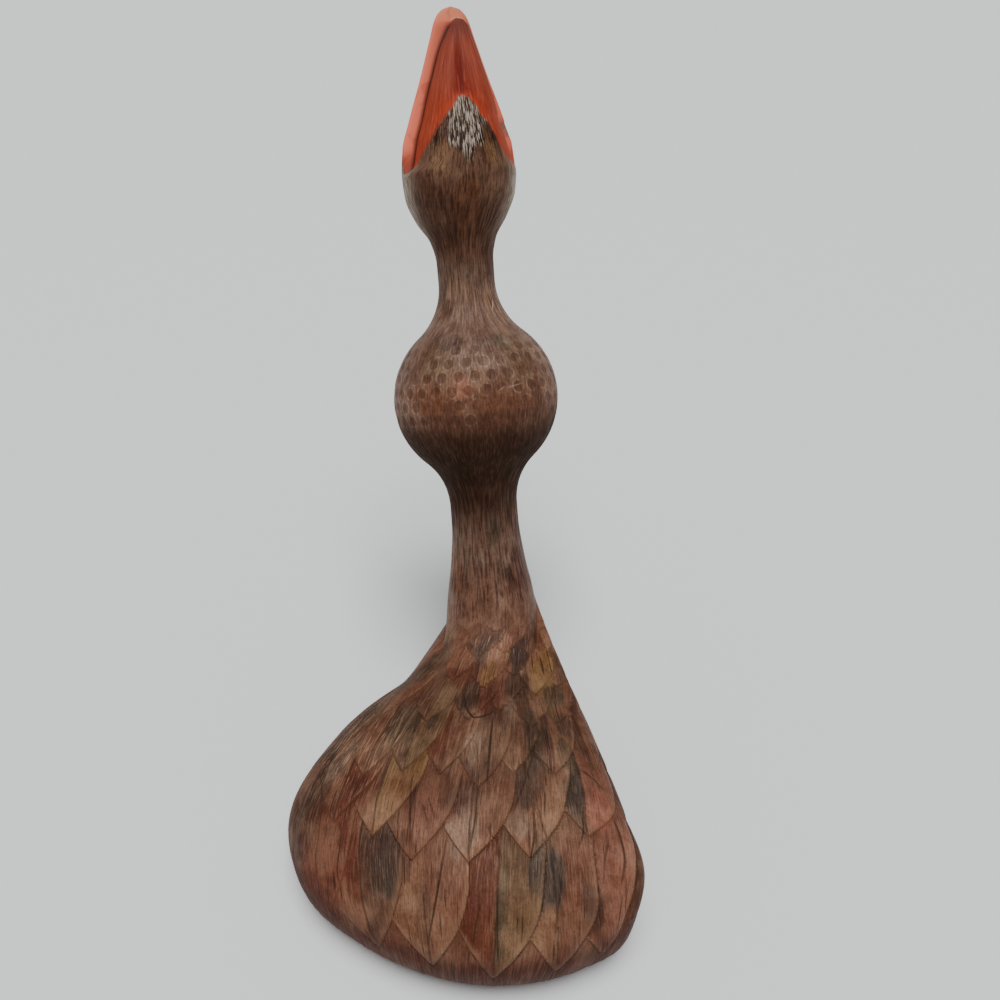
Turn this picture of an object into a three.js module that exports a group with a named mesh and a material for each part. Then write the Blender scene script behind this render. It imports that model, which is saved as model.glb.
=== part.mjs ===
// A carved goose made in the shape of a golf club head: the body is the club
// head lying on its sole, the neck leans back like the hosel, and a golf ball
// shows as a dimpled swelling in the throat. It is one solid piece of wood.
//
// Millimetres, +Z up, +X towards the striking face, +Y from the toe to the
// heel, origin in the middle of the bottom of the bounding box.
//
// The skin is a stack of closed rings. They start at the tip of the bill, go
// down the head and neck, spread over the crown, roll round the rim and close
// on the flat sole. Every ring runs once round from u = 0, in the middle of
// the toe, to u = 1.

import * as THREE from 'three';

// Neck: a straight line from its foot on the table
const NECK_FOOT = new THREE.Vector3(14.85, -12.56, 0);
const NECK_LEAN_BACK = 28; // degrees from upright, away from the toe
const NECK_LEAN_SIDE = 3.1; // degrees from upright, away from the face

// Ball in the throat, with its fillets and dimples
const BALL_RADIUS = 22.6;
const BALL_STATION = 103; // distance up the neck line
const FILLET_RADIUS = 18;
const NECK_RADIUS_BELOW = 9.4;
const NECK_RADIUS_ABOVE = 7.6;
const DIMPLE_DEPTH = 0.45;
const DIMPLES_ROUND = 32;
const DIMPLE_ROW_STEP = 3.8;
const DIMPLE_ROWS = [-3, 4]; // first and last row, counted from the middle

// Neck below the ball: station up the neck line and radius
const LOWER_NECK = [
  [20, 24], [33, 16.6], [40, 14.0], [48, 12.2], [58, 10.4], [68, 9.5], [80, 9.4],
];

// Head: station, half width, depth towards the toe (throat), depth behind (crown)
const HEAD = [
  [130, 7.6, 7.6, 7.6],
  [140, 7.7, 7.6, 7.8],
  [145.2, 8.8, 8.0, 9.6],
  [151, 12.3, 9.8, 12.6],
  [157, 14.7, 11.6, 14.8],
  [163, 15.2, 12.0, 15.2],
  [169, 14.7, 11.0, 13.2],
  [176, 12.5, 9.0, 9.8],
  [186, 8.9, 6.6, 6.6],
  [195, 5.9, 4.6, 4.6],
  [200, 4.1, 3.4, 3.4],
  [202, 2.2, 2.0, 2.2],
  [202.6, 0.3, 0.3, 0.3],
];
const HEAD_TURN = 11; // degrees, about the neck line
const HEAD_TURN_RANGE = [140, 160];
const BILL_BEND = 1.3; // the tip of the bill drifts this far towards the face
const BILL_BEND_START = 150;

// Bill: the lower mandible lies towards the toe and is nested in the upper one
const MOUTH_CORNER = 163;
const LOWER_MANDIBLE_END = 198.5;
const UPPER_MANDIBLE_LIP = 1.6; // how far the upper one stands out past the lower
const LIP_MOST = 0.4; // and at most this share of the half width
const LIP_RUN_IN = 5;
const LIP_RUN_OUT = [196, 200];
const MOUTH_LINE = -0.05; // just on the throat's side of the widest line
const TIP_UNDERSIDE = 1.4; // depth left under the tip past the lower mandible
const TIP_STATIONS = [202.6, 202.1, 201, 198.8, 198.1]; // rings close together
const TIP_CAP = 0.1;

// Club head, measured from the foot of the neck: its outline seen from above,
// from the middle of the toe round the face and the heel to the back
const OUTLINE = [
  [-6, -71.8], [14, -68.4], [24.5, -63.0], [28.2, -56.5], [26.8, -45],
  [22.8, -24], [18.6, -4], [15, 16], [2, 30], [-13, 21],
  [-27, 5], [-49, -14.5], [-58.2, -34], [-53, -50], [-36, -63.5],
];
const HUB = [-4, -6]; // the crown's sections run out from here
const CROWN_HEIGHT = 38.5;
const CROWN_RISE_TO_HEEL = 0.055; // for each mm towards the heel
const CROWN_RISE_TO_FACE = 0.02;
const RIM_HEIGHT = 12;
const RIM_RISE_AT_FACE = 6;
const RIM_RISE_AT_HEEL = 3;
const SOFT_ROUNDING = 2.5; // superellipse power of the crown's edge at toe and back
const FACE_ROUNDING = 2.2; // added where the crown meets the striking face
const FACE_ENDS = [[28.2, -56.5], [15, 16]]; // the striking face runs between these
const FACE_INSET = [-10, -2]; // ranges over which an edge turns into the face
const FACE_FADE_AT_TOE = [-66, -54];
const FACE_FADE_AT_HEEL = [-20, 10];
const HEEL_RANGE = [-20, 18]; // from the body's edge to the heel's, along the outline
const UNDER_ROUNDING = 2.2;
const SOLE_SHARE = 0.84; // the flat sole against the widest outline
const FLARE_TOP = 50; // station where the neck starts to spread
const FLARE_REACH = 25; // how far it spreads from the hub
const FLARE_SHARE = [0.3, 0.95]; // within these shares of the way to the rim
const FLARE_SHARE_AT_HEEL = 0.97; // the back of the neck runs down to the heel's rim
const FLARE_HEEL_RANGE = [-2, 20];
const SLOPE_STEP = 0.01; // small step for the crown's slope

// Feathers: rows of overlapping feathers that point from the neck to the rim.
// tip is the place of the row's tips between the hub, 0, and the rim, 1
const FEATHER_ROWS = [
  { tip: 0.1, count: 12, shift: 0.5, notch: 0.04 },
  { tip: 0.19, count: 13, shift: 0, notch: 0.05 },
  { tip: 0.3, count: 14, shift: 0, notch: 0.07 },
  { tip: 0.46, count: 14, shift: 0.5, notch: 0.1 },
  { tip: 0.745, count: 15, shift: 0.5, notch: 0.12 },
  { tip: 1.03, count: 20, shift: 0, notch: 0.13 },
];
const FEATHER_STEP = 0.75;
const FEATHER_POINTEDNESS = 1.5;
const FEATHER_FADE_AT_RIM = [0.9, 1];
const FEATHER_FADE_AT_HEEL = [30, 52]; // distance from the hub to the rim

// Rings and sides of the faceted skin
const HEAD_RINGS = 17;
const HEAD_SIDES = 40;
const BALL_SIDES = 2 * DIMPLES_ROUND;
const LOWER_NECK_RINGS = 5;
const FLARE_RINGS = 6;
const CROWN_RINGS = 17;
const CROWN_SIDES = 104;
const UNDER_RINGS = 4;
const UNDER_SIDES = 72;

const WOOD_COLOUR = 0x6b4630;

// Small number helpers
const degrees = Math.PI / 180;
const clamp01 = (x) => Math.min(Math.max(x, 0), 1);
const fract = (x) => x - Math.floor(x);
const mix = (a, b, t) => a + (b - a) * t;

function smoothStep(from, to, x) {
  const t = clamp01((x - from) / (to - from));
  return t * t * (3 - 2 * t);
}

// Cubic between two values with slopes already multiplied by the step length
function hermite(a, slopeA, b, slopeB, t) {
  const t2 = t * t;
  const t3 = t2 * t;
  return (2 * t3 - 3 * t2 + 1) * a + (t3 - 2 * t2 + t) * slopeA
    + (3 * t2 - 2 * t3) * b + (t3 - t2) * slopeB;
}

// Smooth curve through a column of a table of stations, with no overshoot
function alongStations(table, column, s) {
  const last = table.length - 1;
  if (s <= table[0][0]) return table[0][column];
  if (s >= table[last][0]) return table[last][column];
  const slope = (i) => (table[i + 1][column] - table[i][column]) / (table[i + 1][0] - table[i][0]);
  const tangent = (i) => {
    if (i === 0) return slope(0);
    if (i === last) return slope(last - 1);
    const before = slope(i - 1);
    const after = slope(i);
    if (before * after <= 0) return 0;
    const stepBefore = table[i][0] - table[i - 1][0];
    const stepAfter = table[i + 1][0] - table[i][0];
    const weightBefore = 2 * stepAfter + stepBefore;
    const weightAfter = stepAfter + 2 * stepBefore;
    return (weightBefore + weightAfter) / (weightBefore / before + weightAfter / after);
  };
  let i = 0;
  while (s > table[i + 1][0]) i += 1;
  const step = table[i + 1][0] - table[i][0];
  const t = (s - table[i][0]) / step;
  return hermite(table[i][column], tangent(i) * step, table[i + 1][column], tangent(i + 1) * step, t);
}

// Neck line and the two directions across it
const leanBack = NECK_LEAN_BACK * degrees;
const leanSide = NECK_LEAN_SIDE * degrees;
const neckLine = new THREE.Vector3(
  -Math.sin(leanSide),
  Math.cos(leanSide) * Math.sin(leanBack),
  Math.cos(leanSide) * Math.cos(leanBack),
);
const acrossNeck = new THREE.Vector3(1, 0, 0).addScaledVector(neckLine, -neckLine.x).normalize();
const behindNeck = new THREE.Vector3().crossVectors(neckLine, acrossNeck);

// Radius of the ball and its fillets, as added to the neck's own radius
function ballSwelling(s, neckRadius) {
  const away = Math.abs(s - BALL_STATION);
  const filletCentre = neckRadius + FILLET_RADIUS;
  const reach = Math.sqrt((BALL_RADIUS + FILLET_RADIUS) ** 2 - filletCentre ** 2);
  if (away >= reach) return 0;
  const meeting = reach * BALL_RADIUS / (BALL_RADIUS + FILLET_RADIUS);
  if (away < meeting) return Math.sqrt(BALL_RADIUS ** 2 - away ** 2) - neckRadius;
  return FILLET_RADIUS - Math.sqrt(FILLET_RADIUS ** 2 - (reach - away) ** 2);
}

// Half width, depth towards the toe and depth behind, at a station of the neck
function neckSection(s) {
  if (s > BALL_STATION) {
    const swelling = ballSwelling(s, NECK_RADIUS_ABOVE);
    return [1, 2, 3].map((column) => alongStations(HEAD, column, s) + swelling);
  }
  const radius = alongStations(LOWER_NECK, 1, s) + ballSwelling(s, NECK_RADIUS_BELOW);
  return [radius, radius, radius];
}

// How far the lower mandible lies inside the upper one's edge
function lipAt(s) {
  const opening = smoothStep(MOUTH_CORNER, MOUTH_CORNER + LIP_RUN_IN, s);
  return UPPER_MANDIBLE_LIP * opening * (1 - smoothStep(...LIP_RUN_OUT, s));
}

function neckPoint(u, s) {
  let [half, front, back] = neckSection(s);
  const angle = 2 * Math.PI * u - Math.PI / 2;
  let across = Math.cos(angle);
  const behind = Math.sin(angle);
  const isFront = behind < MOUTH_LINE;
  if (isFront) {
    half -= Math.min(lipAt(s), LIP_MOST * half);
    if (s > LOWER_MANDIBLE_END) front = Math.min(front, TIP_UNDERSIDE);
  }
  across *= half;
  const deep = behind * (isFront ? front : back);
  const turn = HEAD_TURN * degrees * smoothStep(...HEAD_TURN_RANGE, s);
  const bend = BILL_BEND * clamp01((s - BILL_BEND_START) / (TIP_STATIONS[0] - BILL_BEND_START));
  return NECK_FOOT.clone()
    .addScaledVector(neckLine, s)
    .addScaledVector(acrossNeck, bend + across * Math.cos(turn) - deep * Math.sin(turn))
    .addScaledVector(behindNeck, deep * Math.cos(turn) + across * Math.sin(turn));
}

// Outline of the club head: a closed smooth curve, u goes by its length
const outlineSteps = OUTLINE.map(([x, y], i) => {
  const [nextX, nextY] = OUTLINE[(i + 1) % OUTLINE.length];
  return Math.hypot(nextX - x, nextY - y);
});
const outlineLength = outlineSteps.reduce((sum, step) => sum + step, 0);

function outlineTangent(i, axis) {
  const n = OUTLINE.length;
  const before = (i + n - 1) % n;
  const slopeBefore = (OUTLINE[i][axis] - OUTLINE[before][axis]) / outlineSteps[before];
  const slopeAfter = (OUTLINE[(i + 1) % n][axis] - OUTLINE[i][axis]) / outlineSteps[i];
  return (slopeBefore * outlineSteps[i] + slopeAfter * outlineSteps[before])
    / (outlineSteps[i] + outlineSteps[before]);
}

function outlinePoint(u) {
  let along = fract(u) * outlineLength;
  let i = 0;
  while (along > outlineSteps[i] && i < OUTLINE.length - 1) {
    along -= outlineSteps[i];
    i += 1;
  }
  const step = outlineSteps[i];
  const next = (i + 1) % OUTLINE.length;
  return [0, 1].map((axis) => hermite(
    OUTLINE[i][axis], outlineTangent(i, axis) * step,
    OUTLINE[next][axis], outlineTangent(next, axis) * step, along / step,
  ));
}

// How much an outline point belongs to the striking face
function faceShare(x, y) {
  const [[toeX, toeY], [heelX, heelY]] = FACE_ENDS;
  const faceX = mix(toeX, heelX, (y - toeY) / (heelY - toeY));
  return smoothStep(...FACE_INSET, x - faceX) * smoothStep(...FACE_FADE_AT_TOE, y)
    * (1 - smoothStep(...FACE_FADE_AT_HEEL, y));
}

// What the club head's edge is like at u: its outline point, how much it
// belongs to the striking face, and the height of its widest line
function edgeAt(u) {
  const [x, y] = outlinePoint(u);
  const face = faceShare(x, y);
  const heel = smoothStep(...HEEL_RANGE, y);
  return { x, y, face, rim: RIM_HEIGHT + RIM_RISE_AT_FACE * face + RIM_RISE_AT_HEEL * heel };
}

function clubPoint(edge, share, z) {
  const x = mix(HUB[0], edge.x, share);
  const y = mix(HUB[1], edge.y, share);
  return new THREE.Vector3(NECK_FOOT.x + x, NECK_FOOT.y + y, z);
}

function crownPoint(u, share) {
  const edge = edgeAt(u);
  const power = SOFT_ROUNDING + FACE_ROUNDING * edge.face;
  const flat = clubPoint(edge, share, 0);
  const top = CROWN_HEIGHT + CROWN_RISE_TO_HEEL * (flat.y - NECK_FOOT.y)
    + CROWN_RISE_TO_FACE * (flat.x - NECK_FOOT.x);
  const fullness = Math.max(1 - share ** power, 0) ** (1 / power);
  flat.z = mix(edge.rim, top, fullness);
  return flat;
}

function underPoint(u, down) {
  const edge = edgeAt(u);
  const fall = Math.sin(down * Math.PI / 2);
  const fullness = Math.max(1 - fall ** UNDER_ROUNDING, 0) ** (1 / UNDER_ROUNDING);
  return clubPoint(edge, mix(SOLE_SHARE, 1, fullness), edge.rim * (1 - fall));
}

// Where the spreading neck reaches the crown, as a share of the way to the rim
function flareShare(u) {
  const [x, y] = outlinePoint(u);
  const reached = FLARE_REACH / Math.hypot(x - HUB[0], y - HUB[1]);
  const share = Math.min(Math.max(reached, FLARE_SHARE[0]), FLARE_SHARE[1]);
  return mix(share, FLARE_SHARE_AT_HEEL, smoothStep(...FLARE_HEEL_RANGE, y));
}

function flarePoint(u, t) {
  const start = neckPoint(u, FLARE_TOP);
  const share = flareShare(u);
  const end = crownPoint(u, share);
  const span = start.distanceTo(end);
  const leaving = neckPoint(u, FLARE_TOP - 1).sub(start).setLength(span);
  const arriving = crownPoint(u, share + SLOPE_STEP).sub(end).setLength(span);
  return new THREE.Vector3(...['x', 'y', 'z'].map(
    (axis) => hermite(start[axis], leaving[axis], end[axis], arriving[axis], t),
  ));
}

// Height of the overlapping feathers: each row rises to a step at its
// scalloped edge, where it lies on the row beyond
function featherHeight(u, share) {
  const [x, y] = outlinePoint(u);
  const fade = smoothStep(...FEATHER_FADE_AT_HEEL, Math.hypot(x - HUB[0], y - HUB[1]))
    * (1 - smoothStep(...FEATHER_FADE_AT_RIM, share));
  let coveredTo = 0;
  for (const row of FEATHER_ROWS) {
    const across = Math.abs(2 * (fract(u * row.count + row.shift + 0.5) - 0.5));
    const edge = row.tip - row.notch * across ** FEATHER_POINTEDNESS;
    if (share < edge) return fade * FEATHER_STEP * (share - coveredTo) / (edge - coveredTo);
    coveredTo = Math.max(coveredTo, edge);
  }
  return 0;
}

// Depth of the dimples: rows round the ball, each shifted by half a dimple
function dimpleDepth(u, s) {
  const row = Math.round((s - BALL_STATION) / DIMPLE_ROW_STEP);
  if (row < DIMPLE_ROWS[0] || row > DIMPLE_ROWS[1]) return 0;
  const rowAway = ((s - BALL_STATION) / DIMPLE_ROW_STEP - row) * 2;
  const place = u * DIMPLES_ROUND + (row % 2 === 0 ? 0 : 0.5);
  const away = (place - Math.round(place)) * 2;
  return DIMPLE_DEPTH * Math.max(1 - Math.hypot(rowAway, away), 0);
}

// One ring of the skin: its points, moved in or out by a carved height
function ring(sides, pointAt, heightAt = () => 0) {
  return Array.from({ length: sides }, (_, i) => {
    const u = i / sides;
    return { u, point: pointAt(u), height: heightAt(u) };
  });
}

function rings(count, from, to, makeRing) {
  return Array.from({ length: count }, (_, i) => makeRing(mix(from, to, (i + 1) / count)));
}

function headRings() {
  const shoulder = BALL_STATION + (DIMPLE_ROWS[1] + 1) * DIMPLE_ROW_STEP;
  const spread = rings(HEAD_RINGS, TIP_STATIONS[TIP_STATIONS.length - 1], shoulder, (s) => s);
  return [...TIP_STATIONS, ...spread].map((s) => ring(HEAD_SIDES, (u) => neckPoint(u, s)));
}

function ballRings() {
  const halfStep = DIMPLE_ROW_STEP / 2;
  const first = BALL_STATION + DIMPLE_ROWS[1] * DIMPLE_ROW_STEP;
  const count = 2 * (DIMPLE_ROWS[1] - DIMPLE_ROWS[0]);
  const stations = [first, ...rings(count, first, first - count * halfStep, (s) => s)];
  return stations.map((s) => ring(BALL_SIDES, (u) => neckPoint(u, s), (u) => -dimpleDepth(u, s)));
}

function lowerNeckRings() {
  const start = BALL_STATION + (DIMPLE_ROWS[0] - 1) * DIMPLE_ROW_STEP;
  return [
    ring(HEAD_SIDES, (u) => neckPoint(u, start)),
    ...rings(LOWER_NECK_RINGS, start, FLARE_TOP, (s) => ring(HEAD_SIDES, (u) => neckPoint(u, s))),
  ];
}

function flareRings() {
  const share = (u, t) => t * flareShare(u);
  return rings(FLARE_RINGS, 0, 1, (t) => ring(
    Math.round(mix(HEAD_SIDES, CROWN_SIDES, t * t)),
    (u) => flarePoint(u, t),
    (u) => featherHeight(u, share(u, t)),
  ));
}

function crownRings() {
  const share = (u, t) => mix(flareShare(u), 1, Math.sin(t * Math.PI / 2));
  return rings(CROWN_RINGS, 0, 1, (t) => ring(
    CROWN_SIDES,
    (u) => crownPoint(u, share(u, t)),
    (u) => featherHeight(u, share(u, t)),
  ));
}

function underRings() {
  return rings(UNDER_RINGS, 0, 1, (down) => ring(UNDER_SIDES, (u) => underPoint(u, down)));
}

// Move every carved point along the skin's own outward direction
function carve(stack) {
  stack.forEach((points, level) => {
    const above = stack[Math.max(level - 1, 0)];
    const below = stack[Math.min(level + 1, stack.length - 1)];
    points.forEach((vertex, i) => {
      if (vertex.height === 0) return;
      const nearest = (other) => other[Math.round(vertex.u * other.length) % other.length].point;
      const before = points[(i + points.length - 1) % points.length].point;
      const after = points[(i + 1) % points.length].point;
      const round = after.clone().sub(before);
      const down = nearest(below).clone().sub(nearest(above));
      vertex.outward = down.cross(round).normalize();
    });
  });
  stack.flat().forEach((vertex) => {
    if (vertex.outward) vertex.point.addScaledVector(vertex.outward, vertex.height);
  });
}

// Triangles between two rings with any number of points
function zip(upper, lower, faces) {
  let i = 0;
  let j = 0;
  while (i < upper.length || j < lower.length) {
    const a = upper[i % upper.length];
    const b = lower[j % lower.length];
    const stepUpper = i < upper.length && (j >= lower.length
      || (i + 1) / upper.length <= (j + 1) / lower.length);
    if (stepUpper) {
      i += 1;
      faces.push(a.index, b.index, upper[i % upper.length].index);
    } else {
      j += 1;
      faces.push(a.index, b.index, lower[j % lower.length].index);
    }
  }
}

function closeWith(points, centre, faces, flip) {
  points.forEach((vertex, i) => {
    const next = points[(i + 1) % points.length];
    faces.push(...(flip ? [next.index, vertex.index, centre] : [vertex.index, next.index, centre]));
  });
}

function gooseGeometry() {
  const stack = [
    ...headRings(), ...ballRings(), ...lowerNeckRings(),
    ...flareRings(), ...crownRings(), ...underRings(),
  ];
  carve(stack);
  const vertices = stack.flat();
  vertices.forEach((vertex, index) => { vertex.index = index; });
  const faces = [];
  for (let level = 0; level + 1 < stack.length; level += 1) zip(stack[level], stack[level + 1], faces);
  const points = vertices.map((vertex) => vertex.point);
  const bottom = stack[stack.length - 1];
  const tip = points.push(neckPoint(0, TIP_STATIONS[0]).addScaledVector(neckLine, TIP_CAP)) - 1;
  const soleMiddle = points.push(clubPoint({ x: 0, y: 0 }, 0, 0)) - 1;
  closeWith(stack[0], tip, faces, false);
  closeWith(bottom, soleMiddle, faces, true);
  const geometry = new THREE.BufferGeometry().setFromPoints(points);
  geometry.setIndex(faces);
  geometry.computeVertexNormals();
  return geometry;
}

function gooseCarving() {
  const wood = new THREE.MeshStandardMaterial({ color: WOOD_COLOUR, roughness: 0.5, metalness: 0 });
  const mesh = new THREE.Mesh(gooseGeometry(), wood);
  mesh.name = 'goose_carving';
  return mesh;
}

const model = new THREE.Group();
model.add(gooseCarving());

export default model;
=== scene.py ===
"""A carved goose in the shape of a golf club head: one piece of stained and
burned wood with a painted bill. The skin is built from the same forms as the
solid, with finer relief: feathers, dimples, strokes, the mouth and the eyes."""

import bpy
import numpy as np
from mathutils import Matrix


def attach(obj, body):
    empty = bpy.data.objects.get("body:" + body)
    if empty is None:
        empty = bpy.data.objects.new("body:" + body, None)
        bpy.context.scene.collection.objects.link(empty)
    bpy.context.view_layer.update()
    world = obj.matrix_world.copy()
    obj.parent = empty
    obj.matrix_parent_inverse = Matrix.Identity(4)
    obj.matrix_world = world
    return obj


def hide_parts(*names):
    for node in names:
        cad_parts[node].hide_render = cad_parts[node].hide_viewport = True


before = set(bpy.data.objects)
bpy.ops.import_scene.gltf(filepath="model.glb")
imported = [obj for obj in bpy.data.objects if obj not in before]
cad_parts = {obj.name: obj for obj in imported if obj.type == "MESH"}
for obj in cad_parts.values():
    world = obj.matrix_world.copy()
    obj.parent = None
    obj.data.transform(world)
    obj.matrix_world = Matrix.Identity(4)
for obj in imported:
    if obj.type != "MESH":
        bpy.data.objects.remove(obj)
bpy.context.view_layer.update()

# Sizes in millimetres. The outline and the hub are measured from the foot of
# the neck line, as in the solid.
MM = 0.001
NECK_FOOT = np.array([14.85, -12.56, 0.0])
NECK_LEAN_BACK = 28  # degrees
NECK_LEAN_SIDE = 3.1
BALL_RADIUS = 22.6
BALL_STATION = 103
FILLET_RADIUS = 18
NECK_RADIUS_BELOW = 9.4
NECK_RADIUS_ABOVE = 7.6
LOWER_NECK = [
    [20, 24], [33, 16.6], [40, 14.0], [48, 12.2], [58, 10.4], [68, 9.5], [80, 9.4],
]
# Station, half width, depth towards the toe and depth behind
HEAD = [
    [130, 7.6, 7.6, 7.6], [140, 7.7, 7.6, 7.8], [145.2, 8.8, 8.0, 9.6],
    [151, 12.3, 9.8, 12.6], [157, 14.7, 11.6, 14.8], [163, 15.2, 12.0, 15.2],
    [169, 14.7, 11.0, 13.2], [176, 12.5, 9.0, 9.8], [186, 8.9, 6.6, 6.6],
    [195, 5.9, 4.6, 4.6], [200, 4.1, 3.4, 3.4], [202, 2.2, 2.0, 2.2],
    [202.6, 0.3, 0.3, 0.3],
]
TIP_STATION = HEAD[-1][0]
HEAD_TURN = 11
HEAD_TURN_RANGE = (140, 160)
BILL_BEND = 1.3
BILL_BEND_START = 150
MOUTH_CORNER = 162
LOWER_MANDIBLE_END = 199.1
LOWER_END_SOFTNESS = 0.4
# Station and how far the upper mandible stands out beside the lower one, away
# from the striking face and towards it
LIPS = [
    [162, 0, 0], [162.8, 1.6, 0.3], [164, 2.7, 0.8], [166.5, 3.2, 1.4], [170, 3.5, 1.9],
    [175, 3.5, 2.0], [178, 3.35, 1.2], [186, 3.0, 0.6], [191, 3.05, 0.5], [193.6, 3.3, 0.5],
    [195.6, 3.75, 0.5], [197.4, 4.3, 0.6], [198.6, 4.8, 1.0],
]
LIP_MOST = 0.93
MOUTH_LINE = -0.05
LEDGE_HALF_WIDTH = 0.02
TIP_UNDERSIDE = 0.05
TIP_ASIDE = 1.5
TIP_CURVE = 0.15  # how the lower mandible's end falls back on both sides
TIP_FALL = 0.6
TIP_POINT = 0.1  # the tip itself stands this far above the topmost ring
OUTLINE = np.array([
    [-6, -71.8], [14, -68.4], [24.5, -63.0], [28.2, -56.5], [26.8, -45],
    [22.8, -24], [18.6, -4], [15, 16], [2, 30], [-13, 21],
    [-27, 5], [-49, -14.5], [-58.2, -34], [-53, -50], [-36, -63.5],
])
HUB = np.array([-4.0, -6.0])
CROWN_HEIGHT = 38.5
CROWN_RISE_TO_HEEL = 0.055
CROWN_RISE_TO_FACE = 0.02
RIM_HEIGHT = 12
RIM_RISE_AT_FACE = 6
RIM_RISE_AT_HEEL = 3
SOFT_ROUNDING = 2.5
FACE_ROUNDING = 2.2
FACE_ENDS = ((28.2, -56.5), (15, 16))
FACE_INSET = (-10, -2)
FACE_FADE_AT_TOE = (-66, -54)
FACE_FADE_AT_HEEL = (-20, 10)
HEEL_RANGE = (-20, 18)
UNDER_ROUNDING = 2.2
SOLE_SHARE = 0.84
FLARE_TOP = 50
FLARE_REACH = 25
FLARE_SHARE = (0.3, 0.95)
FLARE_SHARE_AT_HEEL = 0.97
FLARE_HEEL_RANGE = (-2, 20)
SLOPE_STEP = 0.01  # to find how steeply the crown meets the flare
TURN_STEP = 0.002  # to find which way the outline runs
SMALLEST_LENGTH = 1e-12
SMALLEST_SUM = 1e-6


# Small number helpers
def mix(a, b, t):
    return a + (b - a) * t


def smooth(start, end, x):
    t = np.clip((x - start) / (end - start), 0, 1)
    return t * t * (3 - 2 * t)


def hermite(a, slope_a, b, slope_b, t):
    t2 = t * t
    t3 = t2 * t
    return (
        (2 * t3 - 3 * t2 + 1) * a + (t3 - 2 * t2 + t) * slope_a
        + (3 * t2 - 2 * t3) * b + (t3 - t2) * slope_b
    )


def along(table, x):
    """Smooth curve with no overshoot through rows of a place and its values."""
    table = np.array(table, float)
    knots, values = table[:, 0], table[:, 1:]
    steps = np.diff(knots)[:, None]
    slopes = np.diff(values, axis=0) / steps
    before, after = slopes[:-1], slopes[1:]
    weight_before = 2 * steps[1:] + steps[:-1]
    weight_after = steps[1:] + 2 * steps[:-1]
    rising = before * after > 0
    safe_before = np.where(rising, before, 1)
    safe_after = np.where(rising, after, 1)
    middle = weight_before / safe_before + weight_after / safe_after
    middle = (weight_before + weight_after) / middle
    tangents = np.concatenate([slopes[:1], np.where(rising, middle, 0), slopes[-1:]])
    x = np.asarray(x, float)
    i = np.clip(np.searchsorted(knots, x) - 1, 0, len(knots) - 2)
    t = np.clip((x - knots[i]) / steps[i, 0], 0, 1)[..., None]
    return hermite(values[i], tangents[i] * steps[i], values[i + 1], tangents[i + 1] * steps[i], t)


def unit(vectors):
    return vectors / np.maximum(np.linalg.norm(vectors, axis=-1, keepdims=True), SMALLEST_LENGTH)


# Neck, ball and head: u runs round, s is the station up the neck line
lean_back = np.radians(NECK_LEAN_BACK)
lean_side = np.radians(NECK_LEAN_SIDE)
neck_line = np.array([
    -np.sin(lean_side),
    np.cos(lean_side) * np.sin(lean_back),
    np.cos(lean_side) * np.cos(lean_back),
])
across_neck = unit(np.array([1.0, 0.0, 0.0]) - neck_line * neck_line[0])
behind_neck = np.cross(neck_line, across_neck)


def ball_swelling(s, neck_radius):
    away = np.abs(s - BALL_STATION)
    filleted = BALL_RADIUS + FILLET_RADIUS
    reach = np.sqrt(filleted ** 2 - (neck_radius + FILLET_RADIUS) ** 2)
    ball = np.sqrt(np.maximum(BALL_RADIUS ** 2 - away ** 2, 0)) - neck_radius
    fillet = FILLET_RADIUS - np.sqrt(np.maximum(FILLET_RADIUS ** 2 - (reach - away) ** 2, 0))
    swelling = np.where(away < reach * BALL_RADIUS / filleted, ball, fillet)
    return np.where(away < reach, swelling, 0)


def neck_section(s):
    upper = along(HEAD, s) + ball_swelling(s, NECK_RADIUS_ABOVE)[..., None]
    lower = along(LOWER_NECK, s) + ball_swelling(s, NECK_RADIUS_BELOW)[..., None]
    return np.where((s > BALL_STATION)[..., None], upper, lower)


def lip_at(s, towards_face):
    lips = along(LIPS, s)
    return np.where(towards_face, lips[..., 1], lips[..., 0])


def past_lower_end(across, s):
    """1 beyond the end of the lower mandible."""
    end = LOWER_MANDIBLE_END - np.minimum(TIP_CURVE * (across - TIP_ASIDE) ** 2, TIP_FALL)
    return smooth(end - LOWER_END_SOFTNESS, end + LOWER_END_SOFTNESS, s)


def neck_point(u, s):
    u, s = np.broadcast_arrays(np.asarray(u, float), np.asarray(s, float))
    half, front, back = np.moveaxis(neck_section(s), -1, 0)
    angle = 2 * np.pi * u - np.pi / 2
    behind = np.sin(angle)
    is_front = 1 - smooth(MOUTH_LINE - LEDGE_HALF_WIDTH, MOUTH_LINE + LEDGE_HALF_WIDTH, behind)
    lip = np.minimum(lip_at(s, np.cos(angle) > 0), LIP_MOST * half)
    past_end = past_lower_end(np.cos(angle) * (half - lip), s)
    half = half - is_front * lip
    across = np.cos(angle) * half
    front = mix(front, np.minimum(front, TIP_UNDERSIDE), past_end)
    deep = behind * mix(back, front, is_front)
    turn = np.radians(HEAD_TURN) * smooth(*HEAD_TURN_RANGE, s)
    bend = BILL_BEND * np.clip((s - BILL_BEND_START) / (TIP_STATION - BILL_BEND_START), 0, 1)
    sideways = bend + across * np.cos(turn) - deep * np.sin(turn)
    backwards = deep * np.cos(turn) + across * np.sin(turn)
    return (
        NECK_FOOT + s[..., None] * neck_line
        + sideways[..., None] * across_neck + backwards[..., None] * behind_neck
    )


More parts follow.
